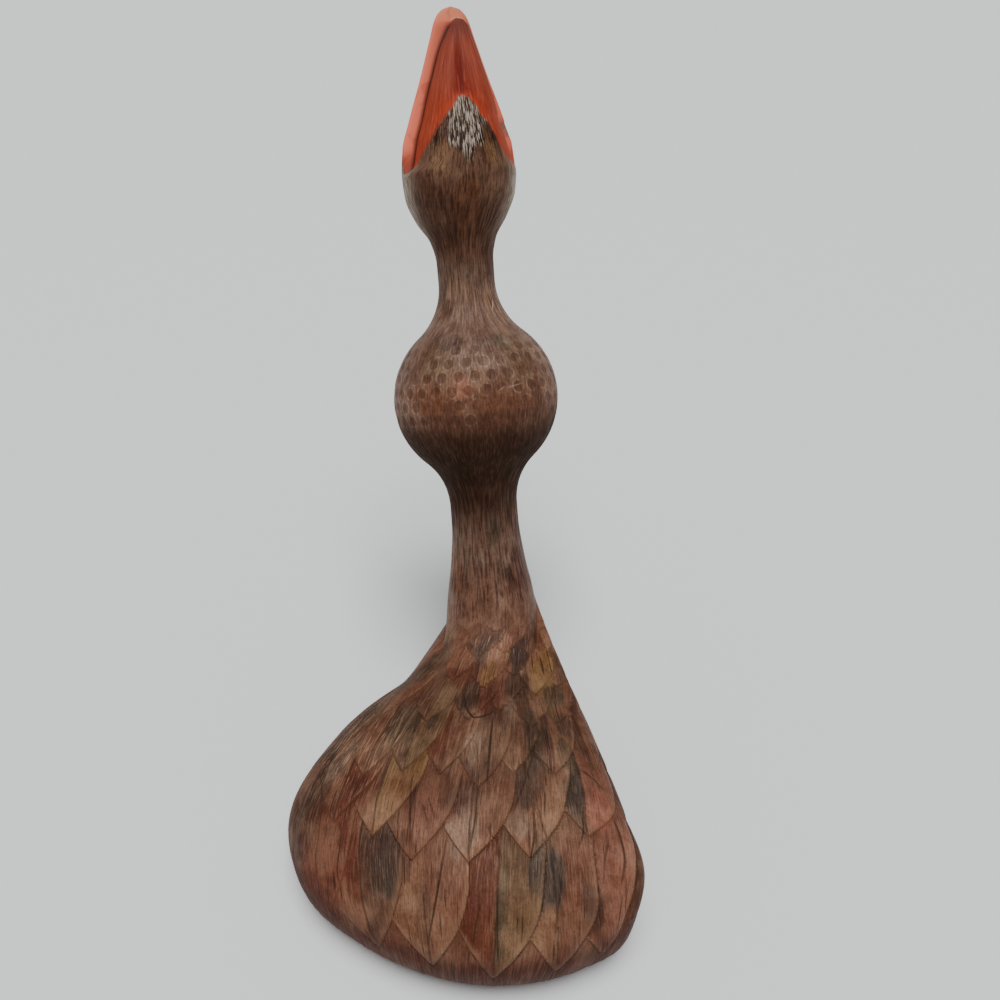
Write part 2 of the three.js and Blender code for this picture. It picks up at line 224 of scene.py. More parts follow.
# Club head: share runs from the hub to the rim, and down from the rim to the sole
outline_steps = np.linalg.norm(np.roll(OUTLINE, -1, axis=0) - OUTLINE, axis=1)
outline_starts = np.concatenate([[0], np.cumsum(outline_steps)])
slopes_after = (np.roll(OUTLINE, -1, axis=0) - OUTLINE) / outline_steps[:, None]
slopes_before = np.roll(slopes_after, 1, axis=0)
steps_before = np.roll(outline_steps, 1)[:, None]
outline_tangents = (
    (slopes_before * outline_steps[:, None] + slopes_after * steps_before)
    / (outline_steps[:, None] + steps_before)
)


def outline_point(u):
    length = (np.asarray(u, float) % 1) * outline_starts[-1]
    i = np.clip(np.searchsorted(outline_starts, length, side="right") - 1, 0, len(OUTLINE) - 1)
    step = outline_steps[i]
    following = (i + 1) % len(OUTLINE)
    t = ((length - outline_starts[i]) / step)[..., None]
    step = step[..., None]
    return hermite(
        OUTLINE[i], outline_tangents[i] * step,
        OUTLINE[following], outline_tangents[following] * step, t,
    )


def face_share(edge):
    (toe_x, toe_y), (heel_x, heel_y) = FACE_ENDS
    face_x = mix(toe_x, heel_x, (edge[..., 1] - toe_y) / (heel_y - toe_y))
    fade = smooth(*FACE_FADE_AT_TOE, edge[..., 1]) * (1 - smooth(*FACE_FADE_AT_HEEL, edge[..., 1]))
    return smooth(*FACE_INSET, edge[..., 0] - face_x) * fade


def rim_height(edge):
    at_heel = smooth(*HEEL_RANGE, edge[..., 1])
    return RIM_HEIGHT + RIM_RISE_AT_FACE * face_share(edge) + RIM_RISE_AT_HEEL * at_heel


def crown_top(flat):
    return CROWN_HEIGHT + CROWN_RISE_TO_HEEL * flat[..., 1] + CROWN_RISE_TO_FACE * flat[..., 0]


def club_point(edge, share, z):
    flat = HUB + share[..., None] * (edge - HUB)
    return np.concatenate([NECK_FOOT[:2] + flat, z[..., None]], axis=-1)


def crown_point(u, share):
    u, share = np.broadcast_arrays(u, share)
    edge = outline_point(u)
    power = SOFT_ROUNDING + FACE_ROUNDING * face_share(edge)
    flat = HUB + share[..., None] * (edge - HUB)
    fullness = np.maximum(1 - share ** power, 0) ** (1 / power)
    return club_point(edge, share, mix(rim_height(edge), crown_top(flat), fullness))


def under_point(u, down):
    u, down = np.broadcast_arrays(u, down)
    edge = outline_point(u)
    fall = np.sin(down * np.pi / 2)
    fullness = np.maximum(1 - fall ** UNDER_ROUNDING, 0) ** (1 / UNDER_ROUNDING)
    return club_point(edge, mix(SOLE_SHARE, 1, fullness), rim_height(edge) * (1 - fall))


def flare_share(u):
    edge = outline_point(u)
    share = np.clip(FLARE_REACH / np.linalg.norm(edge - HUB, axis=-1), *FLARE_SHARE)
    return mix(share, FLARE_SHARE_AT_HEEL, smooth(*FLARE_HEEL_RANGE, edge[..., 1]))


def flare_point(u, t):
    u, t = np.broadcast_arrays(u, t)
    start = neck_point(u, np.full(u.shape, float(FLARE_TOP)))
    share = flare_share(u)
    end = crown_point(u, share)
    span = np.linalg.norm(end - start, axis=-1, keepdims=True)
    leaving = unit(neck_point(u, np.full(u.shape, FLARE_TOP - 1.0)) - start) * span
    arriving = unit(crown_point(u, share + SLOPE_STEP) - end) * span
    return hermite(start, leaving, end, arriving, t[..., None])


# Unrolled skin of the body: a plan position, pushed outward by how far the
# skin has dropped below the crown, so that the rim and its side spread flat
UNROLL = 0.75


def outward_of(u):
    tangent = unit(outline_point(u + TURN_STEP) - outline_point(u - TURN_STEP))
    return np.stack([tangent[..., 1], -tangent[..., 0]], axis=-1)


def unrolled(u, point):
    local = point - NECK_FOOT
    drop = (crown_top(local) - local[..., 2])[..., None]
    return local[..., :2] + outward_of(u) * UNROLL * drop


# Flow of the plumage on the unrolled skin: lines leave the neck and bend towards
# the toe. Rows of y and the x of the line farthest back, in the middle and
# nearest the striking face
FLOW = [
    [-95, -68, -10.5, 42], [-66, -77, -7.3, 33], [-53, -78, -5.8, 28.5], [-40, -75, -4.4, 25],
    [-26, -66, -2.9, 21.5], [-15, -56, -1.7, 19], [-4, -44, -0.4, 17], [8, -28, 0.6, 15.5],
    [20, -16, 0.5, 14.5], [40, -13, -1, 12.5],
]
flow_table = np.array(FLOW, float)


def flow_lines(y):
    return [np.interp(y, flow_table[:, 0], flow_table[:, column]) for column in (1, 2, 3)]


def flow_label(x, y):
    """Which line passes through a point: -1 at the back, 0 in the middle, 1 at the face."""
    back, middle, face = flow_lines(y)
    return np.where(x < middle, (x - middle) / (middle - back), (x - middle) / (face - middle))


def flow_x(label, y):
    back, middle, face = flow_lines(y)
    return middle + label * np.where(label < 0, middle - back, face - middle)


# Feathers: tips on the unrolled skin, in rows from the neck to the toe. A row
# lies on the next one, and a feather on its neighbour towards the face.
# reach is the half width towards the back and towards the face, taper the
# length of the pointed end and point its shape on each side, and stains the
# colours of the two halves
FEATHER_ROWS = [
    {"tips": [(-17, 12), (-9, 9), (-2, 8), (5, 8), (11, 9), (17, 13)],
     "reach": (3.4, 4.2), "taper": (5, 6), "point": (1.8, 2.0),
     "stains": "brown/brown, brown/tan, tan/brown, brown/umber, brown/brown, brown/brown"},
    {"tips": [(-23, 6), (-15, 2), (-7.5, 0), (-0.5, 1), (6, 0), (12, 2), (18, 6)],
     "reach": (3.8, 4.6), "taper": (6, 7), "point": (1.7, 2.0),
     "stains": "brown/brown, brown/red brown, umber/umber, tan/pink brown, umber/umber, brown/tan, "
               "brown/brown"},
    {"tips": [(-33, 2), (-25, -4), (-15, -7), (-6.6, -9.7), (1.5, -6.5), (7.6, -12), (13.4, -10.5),
              (19.5, -4)],
     "reach": (4.4, 5.2), "taper": (7, 8), "point": (1.6, 1.9),
     "stains": "brown/brown, umber/brown, red brown/red brown, brown/ochre, umber/umber, tan/ochre, "
               "brown/dark brown, brown/brown"},
    {"tips": [(-46, -6), (-36, -14), (-22, -19), (-11, -19.2), (-2.8, -17.2), (5.4, -22.0), (12.4, -21),
              (18.5, -19)],
     "reach": (5, 6.2), "taper": (8, 10), "point": (1.6, 2.0),
     "stains": "brown/brown, umber/brown, dark brown/olive, plum/rust, red brown/brown, "
               "dark brown/tan, olive/brown, plum/red brown"},
    {"tips": [(-63, -19), (-52, -27), (-40, -32.9), (-28.6, -33), (-18.6, -34.1), (-9.3, -38.4),
              (-0.2, -34.9), (10.5, -35.2), (20.5, -34), (27.5, -31)],
     "reach": (6, 7), "taper": (11, 14), "point": (1.5, 2.0),
     "stains": "brown/brown, umber/brown, brown/dark brown, umber/olive, red brown/brown, "
               "plum/dark brown, tan/tan, slate/tan, dark brown/brown, red brown/red brown"},
    {"tips": [(-74, -30), (-62, -40), (-49, -44.5), (-37.1, -49.6), (-27.2, -56), (-12.7, -57.4),
              (2.8, -56.6), (18.3, -51.2), (28.5, -45)],
     "reach": (8.5, 10.5), "taper": (15, 18), "point": (1.5, 2.0),
     "stains": "brown/brown, brown/umber, brown/red brown, brown/ochre, red brown/brown, "
               "pink brown/brown, brown/tan, slate/pink brown, brown/dark brown"},
    {"tips": [(-80, -50), (-68, -61), (-54.5, -71), (-40.1, -79), (-24.7, -84), (-8, -88.2),
              (10.1, -86.8), (23.6, -82.8), (34.5, -71.8)],
     "reach": (10, 11.5), "taper": (17, 22), "point": (1.4, 2.0),
     "stains": "brown/brown, brown/dark brown, red brown/red brown, red brown/plum, tan/brown, "
               "rust/olive, tan/brown, brown/pink brown, brown/dark brown"},
]
FEATHER_LENGTH = 60  # far enough for a base to lie under the rows above
NO_FEATHER = -1
FAR_AWAY = 99.0
AXIS_STEP = 1.0  # to find how far a feather's axis leans


def feather_distance(x, y, tip, row):
    """Distance inside a feather's outline, the offset from its axis and from its tip."""
    label = flow_label(*tip)
    lean = flow_x(label, tip[1] + AXIS_STEP) - flow_x(label, tip[1] - AXIS_STEP)
    lean = lean / (2 * AXIS_STEP)
    stretch = np.hypot(1, lean)
    across = (x - flow_x(label, y)) / stretch
    along_axis = (y - tip[1]) * stretch
    side = (across > 0).astype(int)
    reach, taper, point = (np.array(row[key], float)[side] for key in ("reach", "taper", "point"))
    left = np.clip(1 - along_axis / taper, 0, 1)
    half = reach * (1 - left ** point)
    slope = reach * point / taper * left ** (point - 1)
    inside = (half - np.abs(across)) / np.hypot(1, slope)
    beyond = -np.hypot(across, along_axis)
    inside = np.where(along_axis < 0, np.minimum(inside, beyond), inside)
    return inside, across, along_axis


def plumage(flat):
    """For points of the unrolled skin: feather number, distances to its own edge and
    to the edges lying on it, and place across and along it."""
    x, y = flat[:, 0], flat[:, 1]
    count = len(x)
    found = np.full(count, NO_FEATHER)
    row_of = np.full(count, len(FEATHER_ROWS))
    own = np.full(count, FAR_AWAY)
    cover = np.full(count, FAR_AWAY)
    across = np.zeros(count)
    axial = np.zeros(count)
    number = 0
    for level, row in enumerate(FEATHER_ROWS):
        for tip in row["tips"]:
            inside, aside, above = feather_distance(x, y, tip, row)
            free = found == NO_FEATHER
            taken = free & (inside > 0) & (above < FEATHER_LENGTH)
            cover = np.where(free & (inside <= 0), np.minimum(cover, -inside), cover)
            own = np.where(taken, inside, own)
            across = np.where(taken, aside, across)
            axial = np.where(taken, above, axial)
            row_of = np.where(taken, level, row_of)
            found = np.where(taken, number, found)
            number += 1
    return found, row_of, own, cover, across, axial


# Long cuts in the plumage on the unrolled skin, each with its strength and points
PLUME_STROKES = [
    (0.9, [(-25.4, -32.8), (-26.4, -38.7), (-26.9, -46.4), (-27.3, -54)]),
    (0.7, [(-24.7, -36), (-26.1, -42.6)]),
    (0.6, [(-23.8, -41.4), (-22.2, -47.7)]),
    (0.6, [(-22, -40.2), (-20.5, -46.1)]),
    (0.8, [(-46.2, -45.7), (-47, -52.8), (-48, -58.2), (-47.5, -63)]),
    (0.7, [(-50.8, -57.6), (-52.7, -66.9)]),
    (1.0, [(-18, -51.3), (-19.6, -58.6), (-21.5, -66.3), (-24.7, -77.3)]),
    (0.9, [(-9.3, -38.5), (-10.5, -47), (-12.8, -56)]),
    (0.7, [(-10.6, -68), (-12.1, -74.1), (-13, -78.2)]),
    (1.0, [(4.3, -42.3), (4.2, -50), (2.9, -57), (2.3, -65.2)]),
    (0.7, [(5.4, -42.4), (6.3, -48.9), (7.4, -52.1)]),
    (0.8, [(17, -42.2), (17.1, -49.5), (15.1, -54.7)]),
    (0.9, [(22.7, -44.9), (24.9, -50.4), (27.1, -56.5), (27.9, -62.2)]),
    (0.8, [(28.8, -64.2), (28, -70.5), (27.1, -75.4)]),
    (0.6, [(11, -59.6), (10.3, -64.9), (8.8, -73.3), (9.1, -78.9)]),
    (0.6, [(21.5, -48.8), (22.9, -53.7), (22.2, -63.1)]),
    (0.7, [(9.2, -28.6), (9.8, -36.8)]),
    (0.9, [(-4.1, -54.6), (-5.6, -62.6), (-6.2, -73.1), (-6.5, -82.9)]),
    (0.6, [(-7.4, -45.8), (-6.8, -50.2), (-5.1, -52.2)]),
    (0.5, [(-9.2, -45.9), (-9.7, -51.5)]),
    (0.5, [(-30.6, -25.7), (-33.8, -32.6), (-35.2, -40.8)]),
    (0.5, [(-39.1, -33.1), (-43.6, -39.5), (-44, -45.6)]),
    (0.6, [(-55.3, -26), (-53.5, -34.7), (-54.3, -41.7)]),
    (0.5, [(-17.5, -36.4), (-15.3, -31.1), (-12.4, -25.5)]),
    (0.6, [(-44.7, -17.6), (-51.2, -22.2), (-55.2, -26.8)]),
    (0.7, [(6.3, -26.2), (3.1, -35.8), (-1.4, -46.1)]),
    (0.6, [(4.6, -20.5), (4.4, -27.7), (7, -31.9), (9.2, -36)]),
    (0.7, [(14.9, -33.3), (18.3, -35.6), (22, -39)]),
    (1.0, [(-4.2, -17.8), (-5.4, -25.8), (-7.1, -38.5)]),
    (1.0, [(-11.8, -10.7), (-11.2, -15.4), (-8.9, -18.9), (-4.8, -17.7), (-3, -15.6)]),
]
# Worn pale scratches on the neck and the ball: across it and along it
SCRATCHES = [
    (-0.35, [(7.6, 106.6), (11.6, 107.3)]),
    (-0.9, [(6.1, 126), (6.2, 128.6)]),
    (-0.4, [(-2.4, 108.6), (-1.5, 111.4)]),
    (-0.35, [(5.2, 106), (7, 107)]),
]
STROKE_REACH = 2.0
STROKE_STEPS = 5


def nearest_stroke(place, strokes):
    """Signed distance to the nearest stroke and its strength there."""
    nearest = np.full(len(place), STROKE_REACH)
    strength = np.zeros(len(place))
    for most, corners in strokes:
        table = np.column_stack([np.arange(len(corners)), corners])
        points = along(table, np.linspace(0, len(corners) - 1, STROKE_STEPS * len(corners)))
        steps = np.hypot(*np.diff(points, axis=0).T)
        done = 0.0
        for start, end, step in zip(points, points[1:], steps):
            way = (end - start) / step
            offset = place - start
            part = np.clip(offset @ way, 0, step)
            away = np.hypot(*(offset - part[:, None] * way).T)
            aside = way[0] * offset[:, 1] - way[1] * offset[:, 0]
            closer = away < np.abs(nearest)
            nearest = np.where(closer, np.copysign(away, aside), nearest)
            taper = np.sqrt(np.sin(np.pi * np.clip((done + part) / steps.sum(), 0, 1)))
            strength = np.where(closer, most * taper, strength)
            done += step
    return nearest, strength


# Points of the fine skin, in rings from the tip down to the sole
NECK, FLARE, CROWN, UNDER = range(4)
BUNCH = 0.42  # how much closer together the points are on the toe's side
BUNCH_PLACE = -0.05
MOUTH_PLACE = 0.25 + MOUTH_LINE / (2 * np.pi)
MOUTH_BUNCH_WIDTH = 0.03  # points crowd together on the ledge between the jaws
MOUTH_BUNCH_POWER = 2.2
MOUTH_BUNCH_START = MOUTH_CORNER - 4
TIP_LENGTH = 0.9  # its rings lie closer and closer towards the point
TIP_RINGS = 7
HEAD_COUNT = 168
# Station where a stretch of the neck ends, its rings and the points round each
NECK_RINGS = ((130, 92, HEAD_COUNT), (78, 66, 204), (FLARE_TOP, 15, HEAD_COUNT))
# Surface, its rings and the points round the first and the last ring
BODY_RINGS = ((FLARE, 60, HEAD_COUNT, 384), (CROWN, 108, 384, 384), (UNDER, 16, 384, 200))


def ring_places(count, has_mouth=False):
    w = np.arange(count) / count
    place = w - BUNCH / (2 * np.pi) * np.sin(2 * np.pi * (w - BUNCH_PLACE))
    if has_mouth:
        for mouth in (MOUTH_PLACE, 1 - MOUTH_PLACE):
            away = place - mouth
            part = np.minimum(np.abs(away) / MOUTH_BUNCH_WIDTH, 1) ** MOUTH_BUNCH_POWER
            near = mouth + np.sign(away) * MOUTH_BUNCH_WIDTH * part
            place = np.where(np.abs(away) < MOUTH_BUNCH_WIDTH, near, place)
    return place


def rings():
    """Surface, place and number of points of each ring."""
    for s in TIP_STATION - TIP_LENGTH * np.linspace(0, 1, TIP_RINGS) ** 2:
        yield NECK, s, HEAD_COUNT
    start = TIP_STATION - TIP_LENGTH
    for end, steps, count in NECK_RINGS:
        for s in np.linspace(start, end, steps)[1:]:
            yield NECK, s, count
        start = end
    for kind, steps, first_count, last_count in BODY_RINGS:
        for t in np.linspace(0, 1, steps)[1:]:
            yield kind, t, int(round(mix(first_count, last_count, t)))


def skin_points(kind, u, place):
    point = np.zeros((len(u), 3))
    share = flare_share(u)
    for code, surface, where in (
        (NECK, neck_point, place),
        (FLARE, flare_point, place),
        (CROWN, crown_point, mix(share, 1, np.sin(place * np.pi / 2))),
        (UNDER, under_point, place),
    ):
        chosen = kind == code
        point[chosen] = surface(u[chosen], where[chosen])
    return point


def zip_rings(upper, lower, start_upper, start_lower):
    """Triangles between two rings with any number of points, all round."""
    turns = np.concatenate([np.arange(1, upper + 1) / upper, np.arange(1, lower + 1) / lower])
    on_upper = np.arange(upper + lower) < upper
    order = np.lexsort((~on_upper, turns))
    step_upper = on_upper[order]
    i = np.cumsum(step_upper) - step_upper
    j = np.cumsum(~step_upper) - ~step_upper
    a = start_upper + i % upper
    b = start_lower + j % lower
    c = np.where(step_upper, start_upper + (i + 1) % upper, start_lower + (j + 1) % lower)
    return np.stack([a, b, c], axis=1)


def build_grid():
    kinds, places, rounds, starts, counts = [], [], [], [], []
    total = 0
    for kind, place, count in rings():
        kinds.append(np.full(count, kind))
        places.append(np.full(count, place))
        rounds.append(ring_places(count, kind == NECK and place > MOUTH_BUNCH_START))
        starts.append(total)
        counts.append(count)
        total += count
    kind, place, u = np.concatenate(kinds), np.concatenate(places), np.concatenate(rounds)
    quads, triangles = [], []
    for above, below, start, following in zip(counts, counts[1:], starts, starts[1:]):
        if above == below:
            i = np.arange(above)
            right = (i + 1) % above
            quads.append(np.stack([start + i, following + i, following + right, start + right], axis=1))
        else:
            triangles.append(zip_rings(above, below, start, following))
    first, last = np.arange(counts[0]), starts[-1] + np.arange(counts[-1])
    tip, sole = total, total + 1
    triangles.append(np.stack([np.full(counts[0], tip), first, np.roll(first, -1)], axis=1))
    triangles.append(np.stack([np.full(counts[-1], sole), np.roll(last, -1), last], axis=1))
    return kind, u, place, np.concatenate(quads), np.concatenate(triangles)


def vertex_normals(points, quads, triangles):
    corners = np.concatenate([quads[:, [0, 1, 2]], quads[:, [0, 2, 3]], triangles])
    a, b, c = (points[corners[:, k]] for k in range(3))
    face = np.cross(b - a, c - a)
    total = np.stack([
        np.bincount(corners.ravel(), np.repeat(face[:, axis], 3), len(points)) for axis in range(3)
    ], axis=1)
    return unit(total)


# Large odd numbers that scatter the noise's cells
HASH_X = 374761393
HASH_Y = 668265263
HASH_SEED = 974634777
HASH_LAST = 1274126177
LOW_32 = 0xFFFFFFFF
LOW_16 = 0xFFFF
SEAM_RANGE = (0.35, 0.65)


def noise(x, y, seed):
    """Smooth value noise between 0 and 1 on a plane."""
    cell_x, cell_y = np.floor(x).astype(np.int64), np.floor(y).astype(np.int64)
    part_x, part_y = x - cell_x, y - cell_y

    def corner(i, j):
        h = ((cell_x + i) * HASH_X + (cell_y + j) * HASH_Y + seed * HASH_SEED) & LOW_32
        h = ((h ^ (h >> 13)) * HASH_LAST) & LOW_32
        return ((h ^ (h >> 16)) & LOW_16) / LOW_16

    blend_x, blend_y = smooth(0, 1, part_x), smooth(0, 1, part_y)
    return mix(
        mix(corner(0, 0), corner(1, 0), blend_x), mix(corner(0, 1), corner(1, 1), blend_x), blend_y,
    )


def grain(x, y, cell):
    """Noise with cells of this width, length and seed."""
    wide, long, seed = cell
    return noise(x / wide, y / long, seed)


def round_noise(u, station, around, along_step, seed):
    """Noise with no seam round the neck, stretched along it."""
    from_start = noise(u * around, station / along_step, seed)
    from_end = noise((u - 1) * around, station / along_step, seed)
    return mix(from_start, from_end, smooth(*SEAM_RANGE, u))


# Stains, as they look on the wood in even light
STAINS = {
    "brown": (130, 90, 70),
    "dark brown": (94, 66, 50),
    "umber": (72, 52, 42),
    "tan": (154, 116, 90),
    "red brown": (114, 60, 43),
    "rust": (108, 56, 40),
    "orange brown": (132, 82, 52),
    "pink brown": (156, 110, 92),
    "salmon": (172, 104, 86),
    "mauve": (134, 108, 94),
    "slate mauve": (84, 66, 62),
    "pale": (166, 144, 126),
    "olive": (116, 94, 66),
    "dark olive": (88, 76, 58),
    "ochre": (150, 116, 72),
    "green grey": (104, 94, 78),
    "slate": (82, 72, 64),
    "plum": (84, 60, 50),
    "dark red": (86, 46, 38),
    "teal": (58, 60, 54),
    "grey": (158, 146, 132),
    # Char of burned lines and flecks, also the painted shade under the ball and the head
    "char_and_painted_shade": (28, 12, 4),
    # Painted shade of the rim and the side below it
    "rim": (106, 38, 5),
    "bill": (160, 66, 42),
    "bill brick": (152, 70, 52),
    "bill orange": (178, 52, 14),
    # Pale pink of the upper mandible: partly its paint, partly painted highlight where its edges catch
    # the light
    "bill light": (252, 128, 100),
    "bill peach": (244, 160, 122),
    "bill deep": (112, 16, 0),
    "bill apex": (112, 58, 52),
    "bill root": (150, 66, 50),
    # Painted eyes, and the painted shade of the mouth's groove, the nostrils and the eye rings
    "eye": (14, 11, 10),
}


def colour(name):
    """A named stain as linear light."""
    value = np.array(STAINS[name], float) / 255
    return np.where(value <= 0.04045, value / 12.92, ((value + 0.055) / 1.055) ** 2.4)


# Stained places that stand out: middle and half sizes on the unrolled skin
PATCHES = [
    ("red brown", -53, -52, 10, 18, 0.85),
    ("dark olive", -28.5, -20, 4.5, 6, 0.8),
    ("teal", -20.5, -19.5, 1.2, 2.5, 0.6),
    ("red brown", -38.5, -36, 4, 8, 0.7),
    ("orange brown", -29, -38, 3, 5, 0.6),
    ("tan", -36, -45, 3.5, 4, 0.7),
    ("tan", -42, -45, 2.5, 4, 0.6),
    ("plum", -33, -56, 5, 8, 0.85),
    ("teal", -33.7, -62, 1.3, 3.5, 0.7),
    ("pink brown", -23, -46, 4, 8, 0.5),
    # Partly a pale stain, partly painted sheen where the crown faces the light
    ("pale", -13.5, -50, 4, 6, 0.5),
    ("slate mauve", -13, -41, 4, 5, 0.6),
    ("slate mauve", -5.8, 1.5, 2.2, 4.5, 0.85),
    ("pink brown", -2.6, 1.2, 2.2, 3.2, 0.8),
    ("slate mauve", 3.3, 0.5, 2.4, 5.5, 0.85),
    ("rust", -11.4, -6, 4, 4, 0.75),
    ("ochre", -5.5, -6.7, 1.7, 3, 0.9),
    ("pink brown", -0.5, -4, 2.5, 4, 0.6),
    ("umber", -9.8, -13, 2.7, 5.5, 0.85),
    ("rust", -5.6, -13.5, 2.3, 4.5, 0.9),
    ("umber", 2.6, -9.3, 4.2, 4.5, 0.85),
    ("ochre", 9.8, -7.8, 3, 4.5, 0.75),
    ("pink brown", 8.5, 2, 2.2, 4, 0.5),
    ("dark olive", 12.5, -13, 2.6, 3.5, 0.8),
    ("pale", 0.3, -18.5, 1.8, 5.5, 0.6),
    ("slate", 5.2, -24.5, 2.1, 9, 0.9),
    ("green grey", 7.6, -30, 2, 5, 0.7),
    ("tan", 0.5, -28, 3, 6.5, 0.7),
    ("umber", -6.3, -27, 1.1, 7, 0.9),
    ("pale", -9.5, -27, 2.2, 5, 0.55),
    ("pink brown", 10, -31.5, 2, 6, 0.6),
    ("dark olive", 12.8, -30, 2.1, 5, 0.8),
    ("slate mauve", 14, -22, 2.6, 4, 0.75),
    ("slate", 14.5, -41.5, 1.9, 7, 0.85),
    ("tan", 9.5, -45, 3.6, 6, 0.6),
    ("salmon", 20, -44.7, 2.8, 5, 0.7),
    ("slate", 2.6, -38.5, 3, 6.5, 0.7),
    ("pale", 0.5, -48, 3.2, 4, 0.6),
    ("slate", 6.8, -60.3, 4.0, 9.5, 0.95),
    ("umber", -61, -40, 8, 12, 0.5),
    ("dark olive", -48, -14, 12, 8, 0.4),
    ("pale", -47, -26, 4, 6, 0.4),
    ("dark olive", -19, 3, 5, 8, 0.5),
    ("rust", -45, -48, 4.5, 13, 0.5),
    ("slate", -34.5, -60, 3.2, 6, 0.6),
    ("dark brown", 3, -22, 9, 14, 0.35),
    ("dark olive", -34, -5, 7, 6, 0.45),
    ("umber", -25, -70, 2, 9, 0.4),
    ("dark olive", -5.4, -72, 1.6, 13, 0.7),
    ("slate mauve", 19, -69, 3, 6, 0.6),
]
# The same on the neck and head: middle and half sizes across and along it
NECK_PATCHES = [
    ("ochre", -8, 165, 3, 5, 0.35),
    ("ochre", 6.2, 167, 2.2, 4, 0.45),
    ("orange brown", 0.5, 152, 4, 7, 0.4),
    ("green grey", 1.6, 67, 2.4, 5, 0.7),
    ("dark red", 7.6, 55, 2.4, 6, 0.7),
    ("orange brown", -9.4, 55, 2.2, 10, 0.7),
    ("umber", 4, 55, 2.2, 2.6, 0.6),
    ("slate mauve", -6, 118.6, 4, 2.4, 0.6),
    ("slate mauve", 3, 118, 3.5, 2.2, 0.5),
    ("green grey", 7.5, 118.4, 3, 2.2, 0.6),
    ("olive", -10, 114, 5, 4, 0.5),
    ("olive", 11, 113, 4, 5, 0.45),
    ("salmon", -4, 107.6, 3, 3, 0.6),
    ("orange brown", -13, 106, 6, 5, 0.3),
]
# How far from a place's middle its stain fades, in half sizes
PATCH_EDGE = (0.72, 1.15)
PATCH_RAGGEDNESS = 0.7
PATCH_GRAIN = (1.2, 9, 22)
PATCH_GRAIN_ROUND_NECK = (50, 9, 23)
# Station and how much of the brown gives way to mauve: partly a mauve-grey stain, partly painted sheen
# where the neck faces the light above the ball and near its foot
MAUVE_AND_PAINTED_SHEEN = [
    [50, 0.5], [58, 0.8], [70, 0.6], [80, 0.1], [104, 0.1], [110, 0.5], [116, 0.9], [134, 1],
    [146, 0.1], [203, 0],
]
MAUVE_AND_SHEEN_GAIN = 1.2
HEAD_STAIN = 0.7
HEAD_STAIN_RANGE = (135, 150)
# Painted shade where the crown turns down to the board, in the rim's dark red-brown
RIM_PAINTED_SHADE = 0.85
RIM_RANGE = (0.78, 0.95)  # along the crown, where the rim's painted shade begins
BLOTCH_LEAST = 0.55
BLOTCH_GRAIN = (7, 13, 21)
# Station and how strongly the wood is marked with burned hairs
HAIR_STRENGTH = [
    [50, 1], [70, 0.9], [85, 0.7], [98, 0.45], [118, 0.45], [128, 0.8], [140, 0.9], [150, 1],
    [203, 1],
]
# Where the strokes are pale: middle, half sizes and strength on the unrolled skin. The one at (-13, -52)
# is partly painted sheen where the crown faces the light
PALE_STROKES = [
    (-44, -24, 14, 12, 1.2), (-13, -52, 6, 9, 0.6), (-2, 6, 8, 6, 0.9), (-9, -27, 3, 6, 0.7),
]
# Painted sheen on the neck just above the ball
PAINTED_SHEEN_STATION = 128
PAINTED_SHEEN_LENGTH = 7
PAINTED_SHEEN_MOST = 0.5
# Place along the unrolled skin and how much the plumage is darkened there
PLUME_BURNS = [
    [-100, 0.3], [-88, 0.12], [-78, 0], [-58, 0], [-50, 0.05], [-38, 0.22], [-20, 0.3],
    [-8, 0.2], [6, 0.05],
]
BURN_GRAIN = (8, 12, 51)
# Painted shade burned into the rim
RIM_PAINTED_SHADE_BURN = 0.45
# Station up the neck and how much the wood is darkened there: partly burned, partly painted shade under
# the ball and under the head
BURN_AND_PAINTED_SHADE = [
    [50, 0.05], [60, 0.15], [68, 0.4], [76, 0.85], [86, 1], [94, 0.85], [99, 0.35], [103, 0.02],
    [125, 0.05], [133, 0.15], [140, 0.4], [145, 0.5], [150, 0.3], [158, 0.15], [166, 0.05], [203, 0],
]

STEP_HEIGHT = 0.26  # a feather's tip above the feather that it lies on
STEP_LENGTH = 12
ARCH_HEIGHT = 0.12
ARCH_WIDTH = 9
GROOVE_DEPTH = 0.22
GROOVE_WIDTH = 0.7
EDGE_WIDTH = 0.6
PLUME_RANGE = (0.05, 0.4)  # along the flare, where strokes give way to feathers
# How plainly each row's edges are cut and how plain its shafts are; bare wood last
ROW_CLARITY = (0.25, 0.3, 0.35, 0.35, 0.45, 0.85, 1.0, 0.6)
ROW_SHAFTS = (0, 0, 0, 0, 0.6, 1.0, 1.0, 0)
# The edges of the upper rows fade out in places, and those at the back everywhere
FULL_ROW = 5.5
FADED_ROWS = 3
UPPER_LOSS = 0.75
PATCHY_GRAIN = (9, 9, 41)
PATCHY_RANGE = (0.3, 0.7)
BACK_RANGE = (-50, -35)
CLARITY_AT_BACK = 0.2

DIMPLE_PITCH = 4.4
DIMPLE_ROW_STEP = 3.7
DIMPLE_DEPTH = 0.3
DIMPLE_RADIUS = 1.5
# In rows up from the ball's middle, where the dimples begin and fade out
DIMPLE_START = (-2, -1)
DIMPLE_FADE = (3.8, 5.2)
DIMPLE_SHIFTS = (0.1, 0.55)  # of even and of odd rows
BALL_CLEAR = 0.95  # of the radius, as far as the rows are followed
MERIDIAN_PLACES = 600


